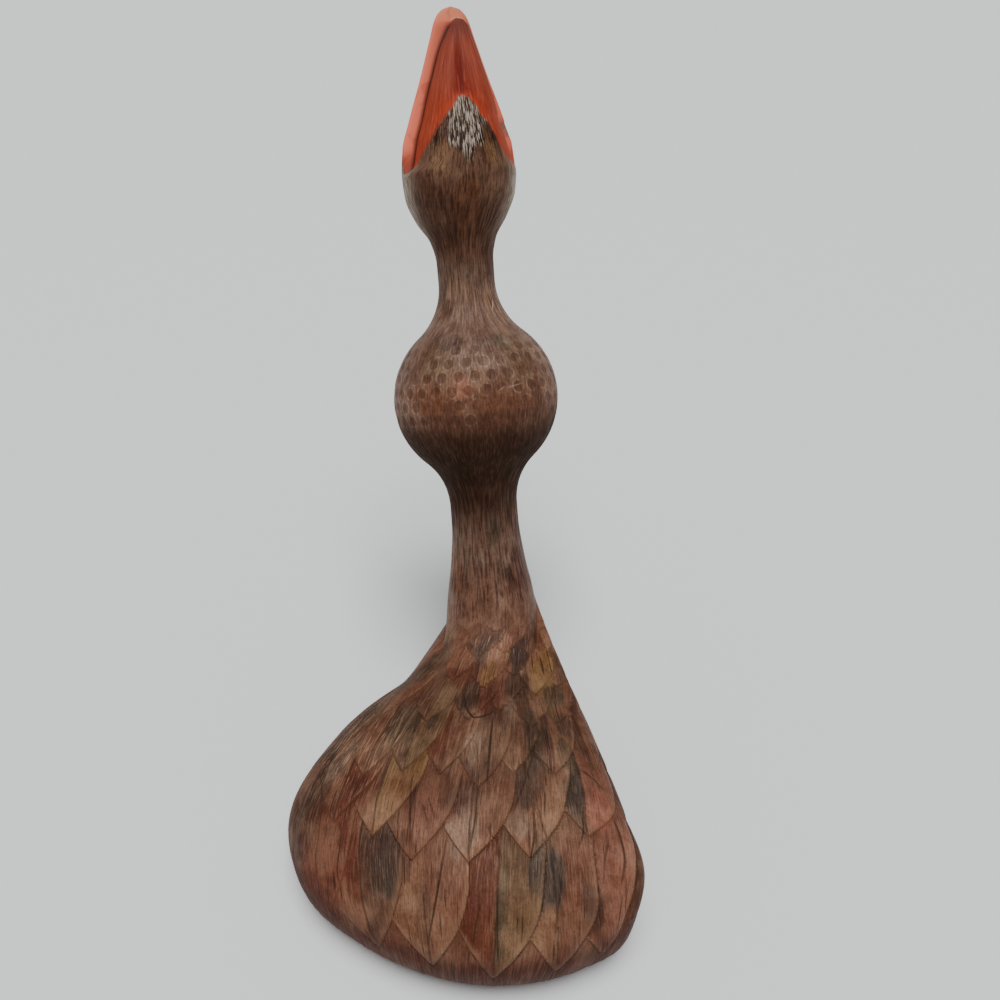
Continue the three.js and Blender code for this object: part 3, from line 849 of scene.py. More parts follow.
def dimple_places(u, s):
    """Rows of dimples: the way up in rows, and turns past the middle of a dimple."""
    turn = np.arcsin(np.clip((s - BALL_STATION) / BALL_RADIUS, -BALL_CLEAR, BALL_CLEAR))
    way_up = turn * BALL_RADIUS / DIMPLE_ROW_STEP
    row = np.round(way_up)
    row_radius = BALL_RADIUS * np.cos(row * DIMPLE_ROW_STEP / BALL_RADIUS)
    count = np.maximum(np.round(2 * np.pi * row_radius / DIMPLE_PITCH), 1)
    place = u * count + np.where(row % 2 == 0, *DIMPLE_SHIFTS)
    inside = smooth(*DIMPLE_START, way_up) * (1 - smooth(*DIMPLE_FADE, way_up))
    return way_up, place, inside


def dimples(way_up, place, inside):
    """1 in the middle of a dimple, 0 outside."""
    across = (place - np.round(place)) * DIMPLE_PITCH
    distance = np.hypot((way_up - np.round(way_up)) * DIMPLE_ROW_STEP, across) / DIMPLE_RADIUS
    return np.clip(1 - distance ** 2, 0, 1) * inside


# Length of the skin up the neck
meridian_stations = np.linspace(FLARE_TOP, TIP_STATION, MERIDIAN_PLACES)
meridian_steps = np.hypot(np.diff(meridian_stations), np.diff(neck_section(meridian_stations)[:, 0]))
meridian_lengths = np.concatenate([[0], np.cumsum(meridian_steps)])


def way_along_skin(s):
    return np.interp(s, meridian_stations, meridian_lengths)


# Places on the head. Feathers run up the throat in a wedge between the jaws:
# place across the lower mandible and the station where the paint begins
WEDGE = [
    [-15, 166.5], [-13.4, 164.4], [-12.4, 164], [-10, 167.4], [-6.7, 172.2], [-3.3, 176],
    [-0.5, 179.3], [1.5, 179], [4.2, 175], [7.1, 171.4], [9, 167.4], [12, 163.4], [15, 162],
]
# Place round the head and the station where the upper mandible's root begins
BILL_ROOT = [
    [-0.5, 177], [-0.4, 174], [-0.3, 170], [-0.26, 167.5], [-0.2452, 164.5], [-0.2389, 161.5],
    [0.2389, 162.6], [0.25, 164], [0.3, 168], [0.4, 173.5], [0.5, 177],
]
ROOT_STEEPNESS = (0.6, 0.8)  # in front and behind
BILL_CLEAR = 4.0  # past this the root's raggedness doesn't reach
# Station and half width of the pale flecks below the wedge's tip
FLECKS = [[162, 0.4], [165, 1.6], [168, 3.6], [172, 5.4], [176, 4.4], [179.5, 1.2]]
FLECK_EDGE_GRAIN = (1.1, 3, 71)
WHITE_RANGE = (161, 168)
BLACK_RANGE = (161, 164)
CHEEK_PLACES = (-0.232, 0.19)
CHEEK_STATION = 158
CHEEK_SIZE = (0.045, 9)
EYE_PLACE = 0.345
EYE_STATION = 161.5
EYE_RADIUS = 1.9
EYE_HEIGHT = 0.7
EYE_RING_WIDTH = 0.5
EYE_RING_DEPTH = 0.35
CHIP_PLACE = 0.244
CHIP_STATION = 173
CHIP_SIZE = (1.1, 3)
CHIP_GRAIN = (90, 1.2, 61)  # how many go round, their length and the noise's seed
CHIP_DEPTH = 0.25
NOSTRIL_PLACE = 0.43
NOSTRIL_STATION = 183
NOSTRIL_SIZE = (1.0, 3.0)
NOSTRIL_DEPTH = 0.5
GAPE_WIDTH = 0.22
GAPE_OVER_LEDGE = 0.1
GAPE_DEPTH = 0.3
GAPE_TOWARDS_FACE = 0.6  # as a share of how open the other side is
TROUGH_WIDTH = 1.2
TROUGH_WIDENING = 0.24  # for each millimetre down from its narrow end
TROUGH_NARROW_END = 192
TROUGH_LENGTH = 20
TROUGH_RANGES = ((176, 182), (190, 197))
TROUGH_DEPTH = 0.7
QUARTER = 0.25  # of a turn, where the throat's side meets the nape's
SQUEEZE = 0.05  # strokes are this much finer across than along
GRAIN_RADIUS = 13.0
GRAIN_APART = 7.3  # between the grain of one feather and of the next
EDGE_SOFTENING = 4.0
STROKE_DEPTH = 0.12
BROAD_STROKES = (60, 14, 11)
FINE_STROKES = (84, 8, 12)
FINE_SHARE = 0.6
BARB_GRAIN = (0.9, 14, 13)
# Stations between which the bill's paint changes, and how strong each paint is
BRICK_RANGE = (178, 188)
DEEP_END = (188, 197)
APEX_RANGE = (191, 198)
PEACH_RANGE = (192, 202)
ROOT_RANGE = (165, 170)
VIVID_RANGE = (0.5, 4)  # past the paint's edge
VIVID_ASIDE = (4, 8)
ORANGE_SHARE = 0.65
APEX_SHARE = 0.85
RIM_SHARE = 0.8


def across_jaw(signed, station):
    """How far aside a point of the lower mandible lies."""
    half = neck_section(station)[..., 0]
    lip = np.minimum(lip_at(station, signed > 0), LIP_MOST * half)
    return np.sin(2 * np.pi * signed) * (half - lip)


def stroke_heights(signed, station):
    broad = round_noise(signed + 0.5, station, *BROAD_STROKES) - 0.5
    return broad + FINE_SHARE * (round_noise(signed + 0.5, station, *FINE_STROKES) - 0.5)


def patched(tint, patches, x, y, axis_x, ragged, where):
    for name, middle_x, middle_y, wide, long, strength in patches:
        away = np.hypot((x - axis_x(middle_x, middle_y)) / wide, (y - middle_y) / long) * ragged
        amount = strength * (1 - smooth(*PATCH_EDGE, away)) * where
        tint = mix(tint, colour(name), amount[:, None])
    return tint


def uneven(amount, value):
    return 1 + amount * (value - 0.5)


def cut_clarity(row, x, y):
    """How plainly the edges are cut: in places only, fainter in the upper rows and
    at the back."""
    upper = np.clip((FULL_ROW - row) / FADED_ROWS, 0, 1)
    clarity = np.array(ROW_CLARITY)[row]
    patchy = smooth(*PATCHY_RANGE, grain(x, y, PATCHY_GRAIN))
    clarity = clarity * mix(1 - UPPER_LOSS * upper, 1, patchy)
    return clarity * mix(CLARITY_AT_BACK, 1, smooth(*BACK_RANGE, x))


def feather_relief(feathered, own, cover, across, axial):
    """Steps and arches of the feathers with the grooves along their edges."""
    shingle = STEP_HEIGHT * np.exp(-np.maximum(axial, 0) / STEP_LENGTH)
    arch = ARCH_HEIGHT * (1 - np.clip(np.abs(across) / ARCH_WIDTH, 0, 1) ** 2)
    under_edge = np.exp(-cover / GROOVE_WIDTH)
    at_edge = np.exp(-own / EDGE_WIDTH)
    swelling = np.where(feathered, shingle + arch, 0) * (1 - at_edge) * (1 - under_edge)
    return swelling - GROOVE_DEPTH * np.maximum(under_edge, at_edge)


def feather_stains(found, feathered, across, x, y, plume):
    """Stain of each feather's two halves, uneven like the wood."""
    pairs = [pair.split("/") for row in FEATHER_ROWS for pair in row["stains"].split(", ")]
    palette = np.array([[colour(name) for name in pair] for pair in pairs])
    brown = colour("brown")
    vane = np.where(feathered[:, None], palette[found, (across > 0).astype(int)], brown)
    blotch = grain(x, y, BLOTCH_GRAIN)[:, None]
    return mix(brown, vane, plume[:, None] * mix(BLOTCH_LEAST, 1, blotch))


def bill_paint(station, side, jaw, in_front, middle, rim, behind):
    """Paint of the bill: a deep middle to the lower jaw, a pale rim to the upper one that is partly
    painted highlight where its edges catch the light.
    """
    paint = mix(colour("bill"), colour("bill brick"), smooth(*BRICK_RANGE, station)[:, None])
    vivid = 1 - smooth(*VIVID_RANGE, np.abs(in_front))
    vivid *= mix(1, 0.3, smooth(*VIVID_ASIDE, np.abs(jaw)))
    middle = middle * (1 - smooth(*DEEP_END, station))
    middle *= smooth(-0.2, 1.0, in_front - np.abs(jaw) / 4)
    rim_paint = colour("bill light")
    for name, share in (
        ("bill peach", RIM_SHARE * smooth(*PEACH_RANGE, station + side) * (1 - behind)),
        ("bill root", RIM_SHARE * (1 - smooth(*ROOT_RANGE, station))),
    ):
        rim_paint = mix(rim_paint, colour(name), share[:, None])
    for stain, share in (
        (colour("bill orange"), ORANGE_SHARE * vivid),
        (colour("bill deep"), middle),
        (colour("bill apex"), APEX_SHARE * smooth(*APEX_RANGE, station)),
        (rim_paint, rim),
    ):
        paint = mix(paint, stain, share[:, None])
    return paint


def build_fields(kind, u, place, point):
    """Everything that varies over the skin: carved height, colours and strokes."""
    signed = np.where(u > 0.5, u - 1, u)
    aside = np.abs(signed)
    on_neck = kind == NECK
    station = np.where(on_neck, place, FLARE_TOP)
    half = neck_section(station)[:, 0]
    side = np.sin(2 * np.pi * signed) * half
    round_way = 2 * np.pi * half
    at_front = on_neck * (aside < QUARTER)

    # Plumage of the body
    flat = unrolled(u, point)
    x, y = flat[:, 0], flat[:, 1]
    found, row, own, cover, across, axial = plumage(flat)
    feathered = found != NO_FEATHER
    plume = np.where(on_neck, 0, np.where(kind == FLARE, smooth(*PLUME_RANGE, place), 1))
    across = np.where(feathered, across, x - flow_x(0 * x, y))
    axial = np.where(feathered, axial, y)
    clarity = cut_clarity(row, x, y)
    height = plume * clarity * feather_relief(feathered, own, cover, across, axial)

    # Dimples of the ball
    way_up, dimple_place, in_band = dimple_places(signed, station)
    in_band = np.where(on_neck, in_band, 0)
    dimple = dimples(way_up, dimple_place, in_band)
    height -= DIMPLE_DEPTH * dimple

    # Mouth, with a trough along the middle of the lower mandible
    jaw = across_jaw(signed, station)
    in_front, from_root = (
        (station - along(table, where)[:, 0]) * steepness
        for table, where, steepness in zip((WEDGE, BILL_ROOT), (jaw, signed), ROOT_STEEPNESS)
    )
    behind = smooth(0.2, 0.5, aside)
    ledge_place = MOUTH_PLACE - LEDGE_HALF_WIDTH / (2 * np.pi)
    is_back = aside > ledge_place
    bill = np.where(is_back, from_root, in_front)
    mouth_away = (aside - ledge_place) * round_way
    past_end = past_lower_end(jaw, station)
    gape = np.exp(-(np.minimum(mouth_away, 0) / GAPE_WIDTH) ** 2)
    gape *= np.exp(-np.maximum(mouth_away, 0) / GAPE_OVER_LEDGE)
    gape *= smooth(MOUTH_CORNER - 1, MOUTH_CORNER + 2, station) * (1 - past_end)
    gape *= np.where(signed < 0, 1.0, GAPE_TOWARDS_FACE) * on_neck
    height -= GAPE_DEPTH * gape
    trough = TROUGH_WIDTH + TROUGH_WIDENING * np.clip(TROUGH_NARROW_END - station, 0, TROUGH_LENGTH)
    middle = np.exp(-(side / trough) ** 2) * at_front
    start, end = TROUGH_RANGES
    height -= TROUGH_DEPTH * middle * smooth(*start, station) * (1 - smooth(*end, station))

    # Eyes and nostrils
    eye_away = np.hypot((aside - EYE_PLACE) * round_way, station - EYE_STATION)
    eye = np.clip(1 - (eye_away / EYE_RADIUS) ** 2, 0, 1) * on_neck
    ring = np.exp(-((eye_away - EYE_RADIUS) / EYE_RING_WIDTH) ** 2) * on_neck
    height += EYE_HEIGHT * np.sqrt(eye) - EYE_RING_DEPTH * ring
    nostril = np.hypot(
        (aside - NOSTRIL_PLACE) * round_way / NOSTRIL_SIZE[0],
        (station - NOSTRIL_STATION) / NOSTRIL_SIZE[1],
    )
    nostril = np.clip(1 - nostril, 0, 1) * on_neck
    height -= NOSTRIL_DEPTH * nostril

    # Long burned strokes of the neck and head, and barbs of the feathers
    bare = (1 - plume) * (1 - smooth(0, 1, bill) * on_neck) * (1 - np.clip(dimple, 0, 1))
    height += STROKE_DEPTH * stroke_heights(signed, station) * bare
    height += STROKE_DEPTH * (grain(across, axial, BARB_GRAIN) - 0.5) * plume

    # Stains: feathers, places that stand out, mauve neck partly as painted sheen, brown head, and painted
    # shade on the rim
    tint = feather_stains(found, feathered, across, x, y, plume)
    ragged = uneven(PATCH_RAGGEDNESS, grain(across, axial, PATCH_GRAIN))
    tint = patched(
        tint, PATCHES, x, y, lambda at_x, at_y: flow_x(flow_label(at_x, at_y), y), ragged, plume,
    )
    # Mauve, partly a stain and partly painted sheen above the ball and near the neck's foot
    mauve = np.minimum(MAUVE_AND_SHEEN_GAIN * along(MAUVE_AND_PAINTED_SHEEN, station)[:, 0], 1) * (1 - plume)
    tint = mix(tint, colour("mauve"), mauve[:, None])
    head = HEAD_STAIN * smooth(*HEAD_STAIN_RANGE, station) * on_neck
    tint = mix(tint, colour("dark brown"), head[:, None])
    ragged = uneven(PATCH_RAGGEDNESS, round_noise(signed + 0.5, station, *PATCH_GRAIN_ROUND_NECK))
    tint = patched(tint, NECK_PATCHES, side, station, lambda at_x, at_y: at_x, ragged, at_front)
    # Painted shade on the rim and the side below it, darker towards the board
    under = np.where(kind == UNDER, 1, np.where(kind == CROWN, smooth(*RIM_RANGE, place), 0))
    tint = mix(tint, colour("rim"), (RIM_PAINTED_SHADE * under)[:, None])

    # How much is darkened, by burning and by painted shade under the ball, under the head and on the rim;
    # how plain the hairs are; and where they are pale, partly as painted sheen
    burn_and_shade = np.where(on_neck, along(BURN_AND_PAINTED_SHADE, station)[:, 0], 0)
    body_burn = along(PLUME_BURNS, y)[:, 0] * (0.6 + 0.8 * grain(x, y, BURN_GRAIN))
    burn_and_shade = np.maximum(mix(burn_and_shade, body_burn, plume), RIM_PAINTED_SHADE_BURN * under)
    clarity = mix(along(HAIR_STRENGTH, station)[:, 0], clarity, plume)
    # Pale strokes: painted sheen above the ball, and on the crown partly painted sheen
    pale = PAINTED_SHEEN_MOST * np.exp(-((station - PAINTED_SHEEN_STATION) / PAINTED_SHEEN_LENGTH) ** 2) * on_neck
    for at_x, at_y, wide, long, strength in PALE_STROKES:
        pale += strength * np.exp(-((x - at_x) / wide) ** 2 - ((y - at_y) / long) ** 2) * plume

    # Paint of the bill, flecks of the throat, pale cheeks and the worn spot on the lip
    paint = bill_paint(station, side, jaw, in_front, middle, np.maximum(is_back, past_end), behind)
    fleck_edge = np.abs(jaw) / along(FLECKS, station)[:, 0]
    fleck_edge *= uneven(0.9, grain(jaw, station, FLECK_EDGE_GRAIN))
    white = (1 - smooth(0.6, 1.15, fleck_edge)) * at_front * smooth(*WHITE_RANGE, station)
    black = smooth(-6.5, -2.5, in_front / ROOT_STEEPNESS[0]) * (1 - smooth(7, 10, np.abs(jaw)))
    black = np.maximum(black, 1 - smooth(0.9, 1.4, fleck_edge)) * at_front
    black = black * smooth(*BLACK_RANGE, station)
    cheek = sum(np.exp(-((signed - at) / CHEEK_SIZE[0]) ** 2) for at in CHEEK_PLACES)
    cheek *= np.exp(-((station - CHEEK_STATION) / CHEEK_SIZE[1]) ** 2) * on_neck
    chip_away = np.hypot(
        (signed - CHIP_PLACE) * round_way / CHIP_SIZE[0], (station - CHIP_STATION) / CHIP_SIZE[1],
    )
    around, along_step, seed = CHIP_GRAIN
    chip_away *= uneven(0.8, noise(signed * around, station / along_step, seed))
    chip = (1 - smooth(0.6, 1.1, chip_away)) * on_neck
    height -= CHIP_DEPTH * chip
    # Painted eyes, and painted shade in the mouth's groove, the nostrils and the rings round the eyes
    dark = np.clip(np.maximum.reduce([gape, 1.3 * np.sqrt(eye), 0.6 * ring, 2 * nostril]), 0, 1)

    # Place across and along the strokes; the along part is squeezed
    below_neck = (point - NECK_FOOT) @ neck_line - FLARE_TOP
    neck_grain = [
        GRAIN_RADIUS * np.cos(2 * np.pi * signed), GRAIN_RADIUS * np.sin(2 * np.pi * signed),
        np.where(on_neck, way_along_skin(station), below_neck) * SQUEEZE,
    ]

    # Sharp lines are kept as turns, whose cosine and sine blend cleanly between points
    from_cover = 1 - np.exp(-cover / EDGE_SOFTENING)
    from_own = 1 - np.exp(-own / EDGE_SOFTENING)
    turn = 2 * np.pi * from_cover / np.maximum(from_cover + from_own, SMALLEST_SUM)
    nearest, strength = nearest_stroke(flat, PLUME_STROKES)
    scratch, scratch_strength = nearest_stroke(np.stack([side, station], axis=1), SCRATCHES)
    nearest = np.where(on_neck, scratch, nearest)
    strength = np.where(on_neck, scratch_strength * at_front, strength * plume)
    stroke_turn = np.pi * nearest / STROKE_REACH
    dimple_turn = 2 * np.pi * dimple_place
    row_share = np.maximum(np.cos(np.pi * (way_up - np.round(way_up))), 0) * (in_band > 0)
    has_shaft = np.where(feathered, np.array(ROW_SHAFTS)[row], 0)
    fields = {
        "edge": [np.cos(turn), np.sin(turn), pale],
        "girth": [np.where(on_neck, half / GRAIN_RADIUS, 1), chip, has_shaft],
        "masks": [plume, in_band, dark],
        "dimple_grid": [row_share * np.cos(dimple_turn), row_share * np.sin(dimple_turn), way_up],
        "stroke": [np.cos(stroke_turn), np.sin(stroke_turn), strength],
        "marks": [np.where(on_neck, np.clip(bill, -BILL_CLEAR, BILL_CLEAR), -BILL_CLEAR), white, black],
        "burns_and_shade": [burn_and_shade, clarity, cheek],
        "neck_grain": neck_grain,
        "feather_grain": [across, found * GRAIN_APART, axial * SQUEEZE],
    }
    fields = {name: np.stack(parts, axis=1) for name, parts in fields.items()}
    return height, {"tint": tint, "paint": paint, **fields}


def add_object(name, data):
    added = bpy.data.objects.new(name, data)
    bpy.context.scene.collection.objects.link(added)
    return added


def make_goose():
    kind, u, place, quads, triangles = build_grid()
    base = skin_points(kind, u, place)
    height, fields = build_fields(kind, u, place, base)
    tip = neck_point(0.0, TIP_STATION) + TIP_POINT * neck_line
    sole = club_point(HUB, np.array(0.0), np.array(0.0))
    base = np.concatenate([base, tip[None], sole[None]])
    height = np.concatenate([height, [0, 0]])
    point = base + vertex_normals(base, quads, triangles) * height[:, None]
    point[:, 2] = np.maximum(point[:, 2], 0)
    mesh = bpy.data.meshes.new("goose")
    mesh.from_pydata((point * MM).tolist(), [], [*quads.tolist(), *triangles.tolist()])
    mesh.validate()
    mesh.polygons.foreach_set("use_smooth", np.ones(len(mesh.polygons), bool))
    for name, values in fields.items():
        values = np.concatenate([values, values[:1], values[-1:]])
        is_colour = name in ("tint", "paint")
        if is_colour:
            values = np.concatenate([values, np.ones((len(values), 1))], axis=1)
        layer = mesh.attributes.new(name, "FLOAT_COLOR" if is_colour else "FLOAT_VECTOR", "POINT")
        layer.data.foreach_set("color" if is_colour else "vector", values.astype(np.float32).ravel())
    return add_object("goose", mesh)


class Nodes:
    """Short ways to build a node material."""

    def __init__(self, name):
        self.material = bpy.data.materials.new(name)
        self.material.use_nodes = True
        self.tree = self.material.node_tree
        self.shader = self.tree.nodes["Principled BSDF"]

    def put(self, socket, value):
        if isinstance(value, bpy.types.NodeSocket):
            self.tree.links.new(value, socket)
        else:
            socket.default_value = value

    def make(self, kind, inputs, **settings):
        """A node with its settings, and a value or a link for each input."""
        node = self.tree.nodes.new("ShaderNode" + kind)
        for name, value in settings.items():
            setattr(node, name, value)
        for socket, value in inputs.items():
            self.put(node.inputs[socket], value)
        return node.outputs

    def attribute(self, name, output="Vector"):
        return self.make("Attribute", {}, attribute_name=name)[output]

    def split(self, vector):
        return self.make("SeparateXYZ", {0: vector})

    def math(self, operation, *values):
        return self.make("Math", dict(enumerate(values)), operation=operation)[0]

    def times(self, value, *others):
        for other in others:
            value = self.math("MULTIPLY", value, other)
        return value

    def plus(self, a, b):
        return self.math("ADD", a, b)

    def minus(self, a, b):
        return self.math("SUBTRACT", a, b)

    def most(self, value, *others):
        for other in others:
            value = self.math("MAXIMUM", value, other)
        return value

    def turn(self, sine, cosine, whole):
        """The place round a turn that is this long."""
        return self.times(self.math("ARCTAN2", sine, cosine), whole / (2 * np.pi))

    def size(self, value):
        return self.math("ABSOLUTE", value)

    def noise(self, vector, scale, detail, rough=0.5, shorter=None):
        if shorter:
            squeeze = {0: vector, 1: (1.0, 1.0, shorter)}
            vector = self.make("VectorMath", squeeze, operation="MULTIPLY")[0]
        inputs = {"Vector": vector, "Scale": scale, "Detail": detail, "Roughness": rough}
        return self.make("TexNoise", inputs)["Fac"]

    def ramp(self, value, low, high, to_low=0.0, to_high=1.0):
        names = ("Value", "From Min", "From Max", "To Min", "To Max")
        inputs = dict(zip(names, (value, low, high, to_low, to_high)))
        return self.make("MapRange", inputs, interpolation_type="SMOOTHSTEP")["Result"]

    def blend(self, share, a, b, mode="MIX"):
        return self.make("Mix", {"Factor": share, 6: a, 7: b}, data_type="RGBA", blend_type=mode)[2]

    def shade(self, share, value, factors):
        return self.blend(share, value, (*factors, 1.0), "MULTIPLY")

    def mix_value(self, share, a, b):
        return self.make("Mix", {"Factor": share, 2: a, 3: b})[0]


def rgba(name, gain=1.0):
    return (*(colour(name) * gain), 1.0)


# Strokes of the grain: scale, detail, roughness and how much they are shortened
BAND = (1.0, 2.0)
SLITS = (1.7, 1.0)
THIN_NECK_HAIR = (1.5, 2.0, 0.5, 2.6)
THICK_NECK_HAIR = (3.0, 2.0, 0.5, 2.6)
FEATHER_HAIR = (2.8, 2.0, 0.5, 1.6)
FINE_NECK_HAIR = (4.0, 1.0, 0.5, 4.0)
FINE_FEATHER_HAIR = (3.6, 1.0, 0.5, 5.0)
FLECK_GRAIN = (3.3, 2.0, 0.6, 2.1)
# Uneven places of the wood: scale, detail and roughness
MOTTLE = (260, 3.0, 0.6)
CLOUD = (90, 2.0, 0.5)
SPECKLE = (1500, 2.0, 0.6)
# Where each line fades out and is full, in millimetres from its middle
LINE_WIDTH = (0.34, 0.1)
# Painted shade beneath a feather's edge and painted highlight along it
PAINTED_SHADE_WIDTH = (3.2, 0.0)
PAINTED_HIGHLIGHT_WIDTH = (1.6, 0.4)
CUT_WIDTH = (0.36, 0.12)
SCRATCH_WIDTH = (0.24, 0.06)
SHAFT_WIDTH = (0.34, 0.12)
DIMPLE_RIM_WIDTH = (0.26, 0.05)
WOBBLE = 0.5
# How the marks of the wood darken it
DARK_MOTTLE = (0.74, 0.68, 0.64)
DARK_CLOUD = (0.80, 0.68, 0.62)
DARK_SPECKLE = (0.55, 0.50, 0.47)
DARK_BAND = (0.55, 0.48, 0.44)
DARK_HAIR = (0.42, 0.36, 0.33)
DARK_FINE_HAIR = (0.58, 0.52, 0.48)
# Painted shade inside the dimples
DIMPLE_PAINTED_SHADE = (0.60, 0.52, 0.48)
DARK_PAINT_BAND = (0.72, 0.55, 0.5)
DARK_PAINT_HAIR = (0.62, 0.5, 0.46)
BURNED_AND_SHADED_ROUGHNESS = 0.92
PAINT_ROUGHNESS = 0.66
SPECULAR_LEVEL = 0.24
SPECULAR_TINT = (1.0, 0.84, 0.74, 1.0)
BUMP_STRENGTH = 0.6


def wood_material():
    n = Nodes("stained_wood")
    plume, in_band, dark = n.split(n.attribute("masks"))
    dimple_cosine, dimple_sine, way_up = n.split(n.attribute("dimple_grid"))
    stroke_cosine, stroke_sine, stroke_strength = n.split(n.attribute("stroke"))
    bill, white, black = n.split(n.attribute("marks"))
    burn_and_shade, clarity, cheek = n.split(n.attribute("burns_and_shade"))
    cosine, sine, pale = n.split(n.attribute("edge"))
    girth, chip, has_shaft = n.split(n.attribute("girth"))
    neck_grain = n.attribute("neck_grain")
    feather_grain = n.attribute("feather_grain")
    place = n.make("TexCoord", {})["Object"]

    def streaks(on_neck, on_feather):
        return n.mix_value(plume, n.noise(neck_grain, *on_neck), n.noise(feather_grain, *on_feather))

    band = streaks(BAND, BAND)
    thin_hair, thick_hair = (n.noise(neck_grain, *grain) for grain in (THIN_NECK_HAIR, THICK_NECK_HAIR))
    neck_hair = n.mix_value(n.ramp(girth, 0.7, 1.5), thin_hair, thick_hair)
    hair = n.mix_value(plume, neck_hair, n.noise(feather_grain, *FEATHER_HAIR))
    fine = streaks(FINE_NECK_HAIR, FINE_FEATHER_HAIR)
    mottle, cloud, speckle = (n.noise(place, *grain) for grain in (MOTTLE, CLOUD, SPECKLE))

    # Burned line along every feather's edge, with a painted highlight over the edge and painted shade on
    # the feather beneath it
    wobble = n.times(n.minus(hair, 0.5), WOBBLE)
    distance = n.plus(n.size(n.turn(sine, cosine, EDGE_SOFTENING)), wobble)
    cut = n.times(clarity, plume)
    is_covered = n.ramp(sine, 0.0, 0.02)
    line = n.times(
        n.ramp(distance, *LINE_WIDTH), cut, n.ramp(mottle, 0.38, 0.62, 0.25, 1.0),
        n.ramp(cloud, 0.44, 0.6, 0.1, 0.95),
    )
    # Painted shade on the feather beneath each edge
    shade = n.times(n.ramp(distance, *PAINTED_SHADE_WIDTH), cut, is_covered)
    # Painted highlight along each feather's own edge
    painted_edge_highlight = n.times(n.ramp(distance, *PAINTED_HIGHLIGHT_WIDTH), n.minus(1.0, is_covered), cut)

    # Splits and shafts
    slit = n.times(n.ramp(streaks(SLITS, SLITS), 0.67, 0.72, 0.0, 0.8), plume)
    stroke_away = n.size(n.turn(stroke_sine, stroke_cosine, 2 * STROKE_REACH))
    stroke_away = n.plus(stroke_away, n.times(wobble, 0.4))
    long_cut = n.times(n.ramp(stroke_away, *CUT_WIDTH), n.most(stroke_strength, 0.0))
    scratch = n.times(n.ramp(stroke_away, *SCRATCH_WIDTH), n.most(n.times(stroke_strength, -1.0), 0.0))
    shaft_away = n.size(n.plus(n.split(feather_grain)[0], wobble))
    shaft = n.times(n.ramp(shaft_away, *SHAFT_WIDTH), has_shaft, n.ramp(cloud, 0.36, 0.5), plume)
    cuts = n.most(line, slit, n.times(shaft, 0.6), long_cut)

    # Stained wood with its hairs
    wood = n.attribute("tint", "Color")
    softer = n.mix_value(plume, clarity, 0.35)
    wood = n.shade(n.ramp(mottle, 0.60, 0.38), wood, DARK_MOTTLE)
    wood = n.shade(n.ramp(cloud, 0.60, 0.40), wood, DARK_CLOUD)
    wood = n.blend(n.ramp(cloud, 0.52, 0.66, 0.0, 0.35), wood, rgba("tan"))
    wood = n.shade(n.ramp(speckle, 0.52, 0.66, 0.0, 0.45), wood, DARK_SPECKLE)
    wood = n.shade(n.times(n.ramp(band, 0.52, 0.68, 0.0, 0.7), softer), wood, DARK_BAND)
    wood = n.shade(n.times(n.ramp(hair, 0.51, 0.60, 0.0, 0.85), softer), wood, DARK_HAIR)
    wood = n.shade(n.ramp(fine, 0.52, 0.62, 0.0, 0.4), wood, DARK_FINE_HAIR)
    # Pale hairs, more of them where the pale mask paints sheen
    light_hair = n.times(n.ramp(hair, 0.45, 0.35), n.plus(0.2, pale), 0.7)
    wood = n.blend(light_hair, wood, rgba("tan", 1.35))
    # Painted highlight over each feather's edge and painted shade beneath it
    wood = n.blend(n.times(painted_edge_highlight, 0.22), wood, rgba("tan", 1.3))
    wood = n.shade(n.times(shade, 0.5), wood, DARK_BAND)
    wood = n.blend(n.times(cuts, 0.85), wood, rgba("char_and_painted_shade"))

    # Dimples of the ball: painted shade inside each and a painted highlight on its thin rim, both patchy
    dimple_across = n.turn(dimple_sine, dimple_cosine, DIMPLE_PITCH)
    dimple_along = n.times(n.minus(way_up, n.math("ROUND", way_up)), DIMPLE_ROW_STEP)
    squares = n.plus(n.math("POWER", dimple_across, 2.0), n.math("POWER", dimple_along, 2.0))
    dimple_away = n.plus(n.math("SQRT", squares), n.minus(mottle, 0.5))
    dimple_patchiness = n.ramp(cloud, 0.42, 0.58)
    in_dimple = n.times(n.ramp(dimple_away, DIMPLE_RADIUS + 0.1, DIMPLE_RADIUS - 0.45), in_band)
    rim_away = n.size(n.minus(dimple_away, DIMPLE_RADIUS + 0.15))
    rim = n.times(
        n.ramp(rim_away, *DIMPLE_RIM_WIDTH), in_band, dimple_patchiness, n.ramp(hair, 0.54, 0.42, 0.04, 0.36),
    )
    # Painted shade inside the dimples
    wood = n.shade(n.times(in_dimple, n.mix_value(dimple_patchiness, 0.25, 0.75)), wood, DIMPLE_PAINTED_SHADE)
    # Painted highlight on the dimples' rims
    wood = n.blend(rim, wood, rgba("pale", 1.1))
    wood = n.blend(n.times(scratch, 0.8), wood, rgba("pale", 1.6))
    # Burned wood, and painted shade under the ball, under the head and on the rim, darkened with char
    burned_and_shaded = n.times(burn_and_shade, n.ramp(hair, 0.3, 0.6, 0.85, 1.0))
    wood = n.blend(n.times(burned_and_shaded, 0.93), wood, rgba("char_and_painted_shade", 1.3))

    # White and black flecks of the throat, grey cheeks
    short = n.noise(neck_grain, *FLECK_GRAIN)
    wood = n.blend(n.times(black, n.ramp(short, 0.48, 0.54)), wood, rgba("char_and_painted_shade"))
    wood = n.blend(n.times(white, n.ramp(short, 0.50, 0.43)), wood, rgba("grey", 1.25))
    wood = n.blend(n.times(cheek, n.ramp(short, 0.57, 0.45, 0.25, 1.0)), wood, rgba("grey", 1.3))

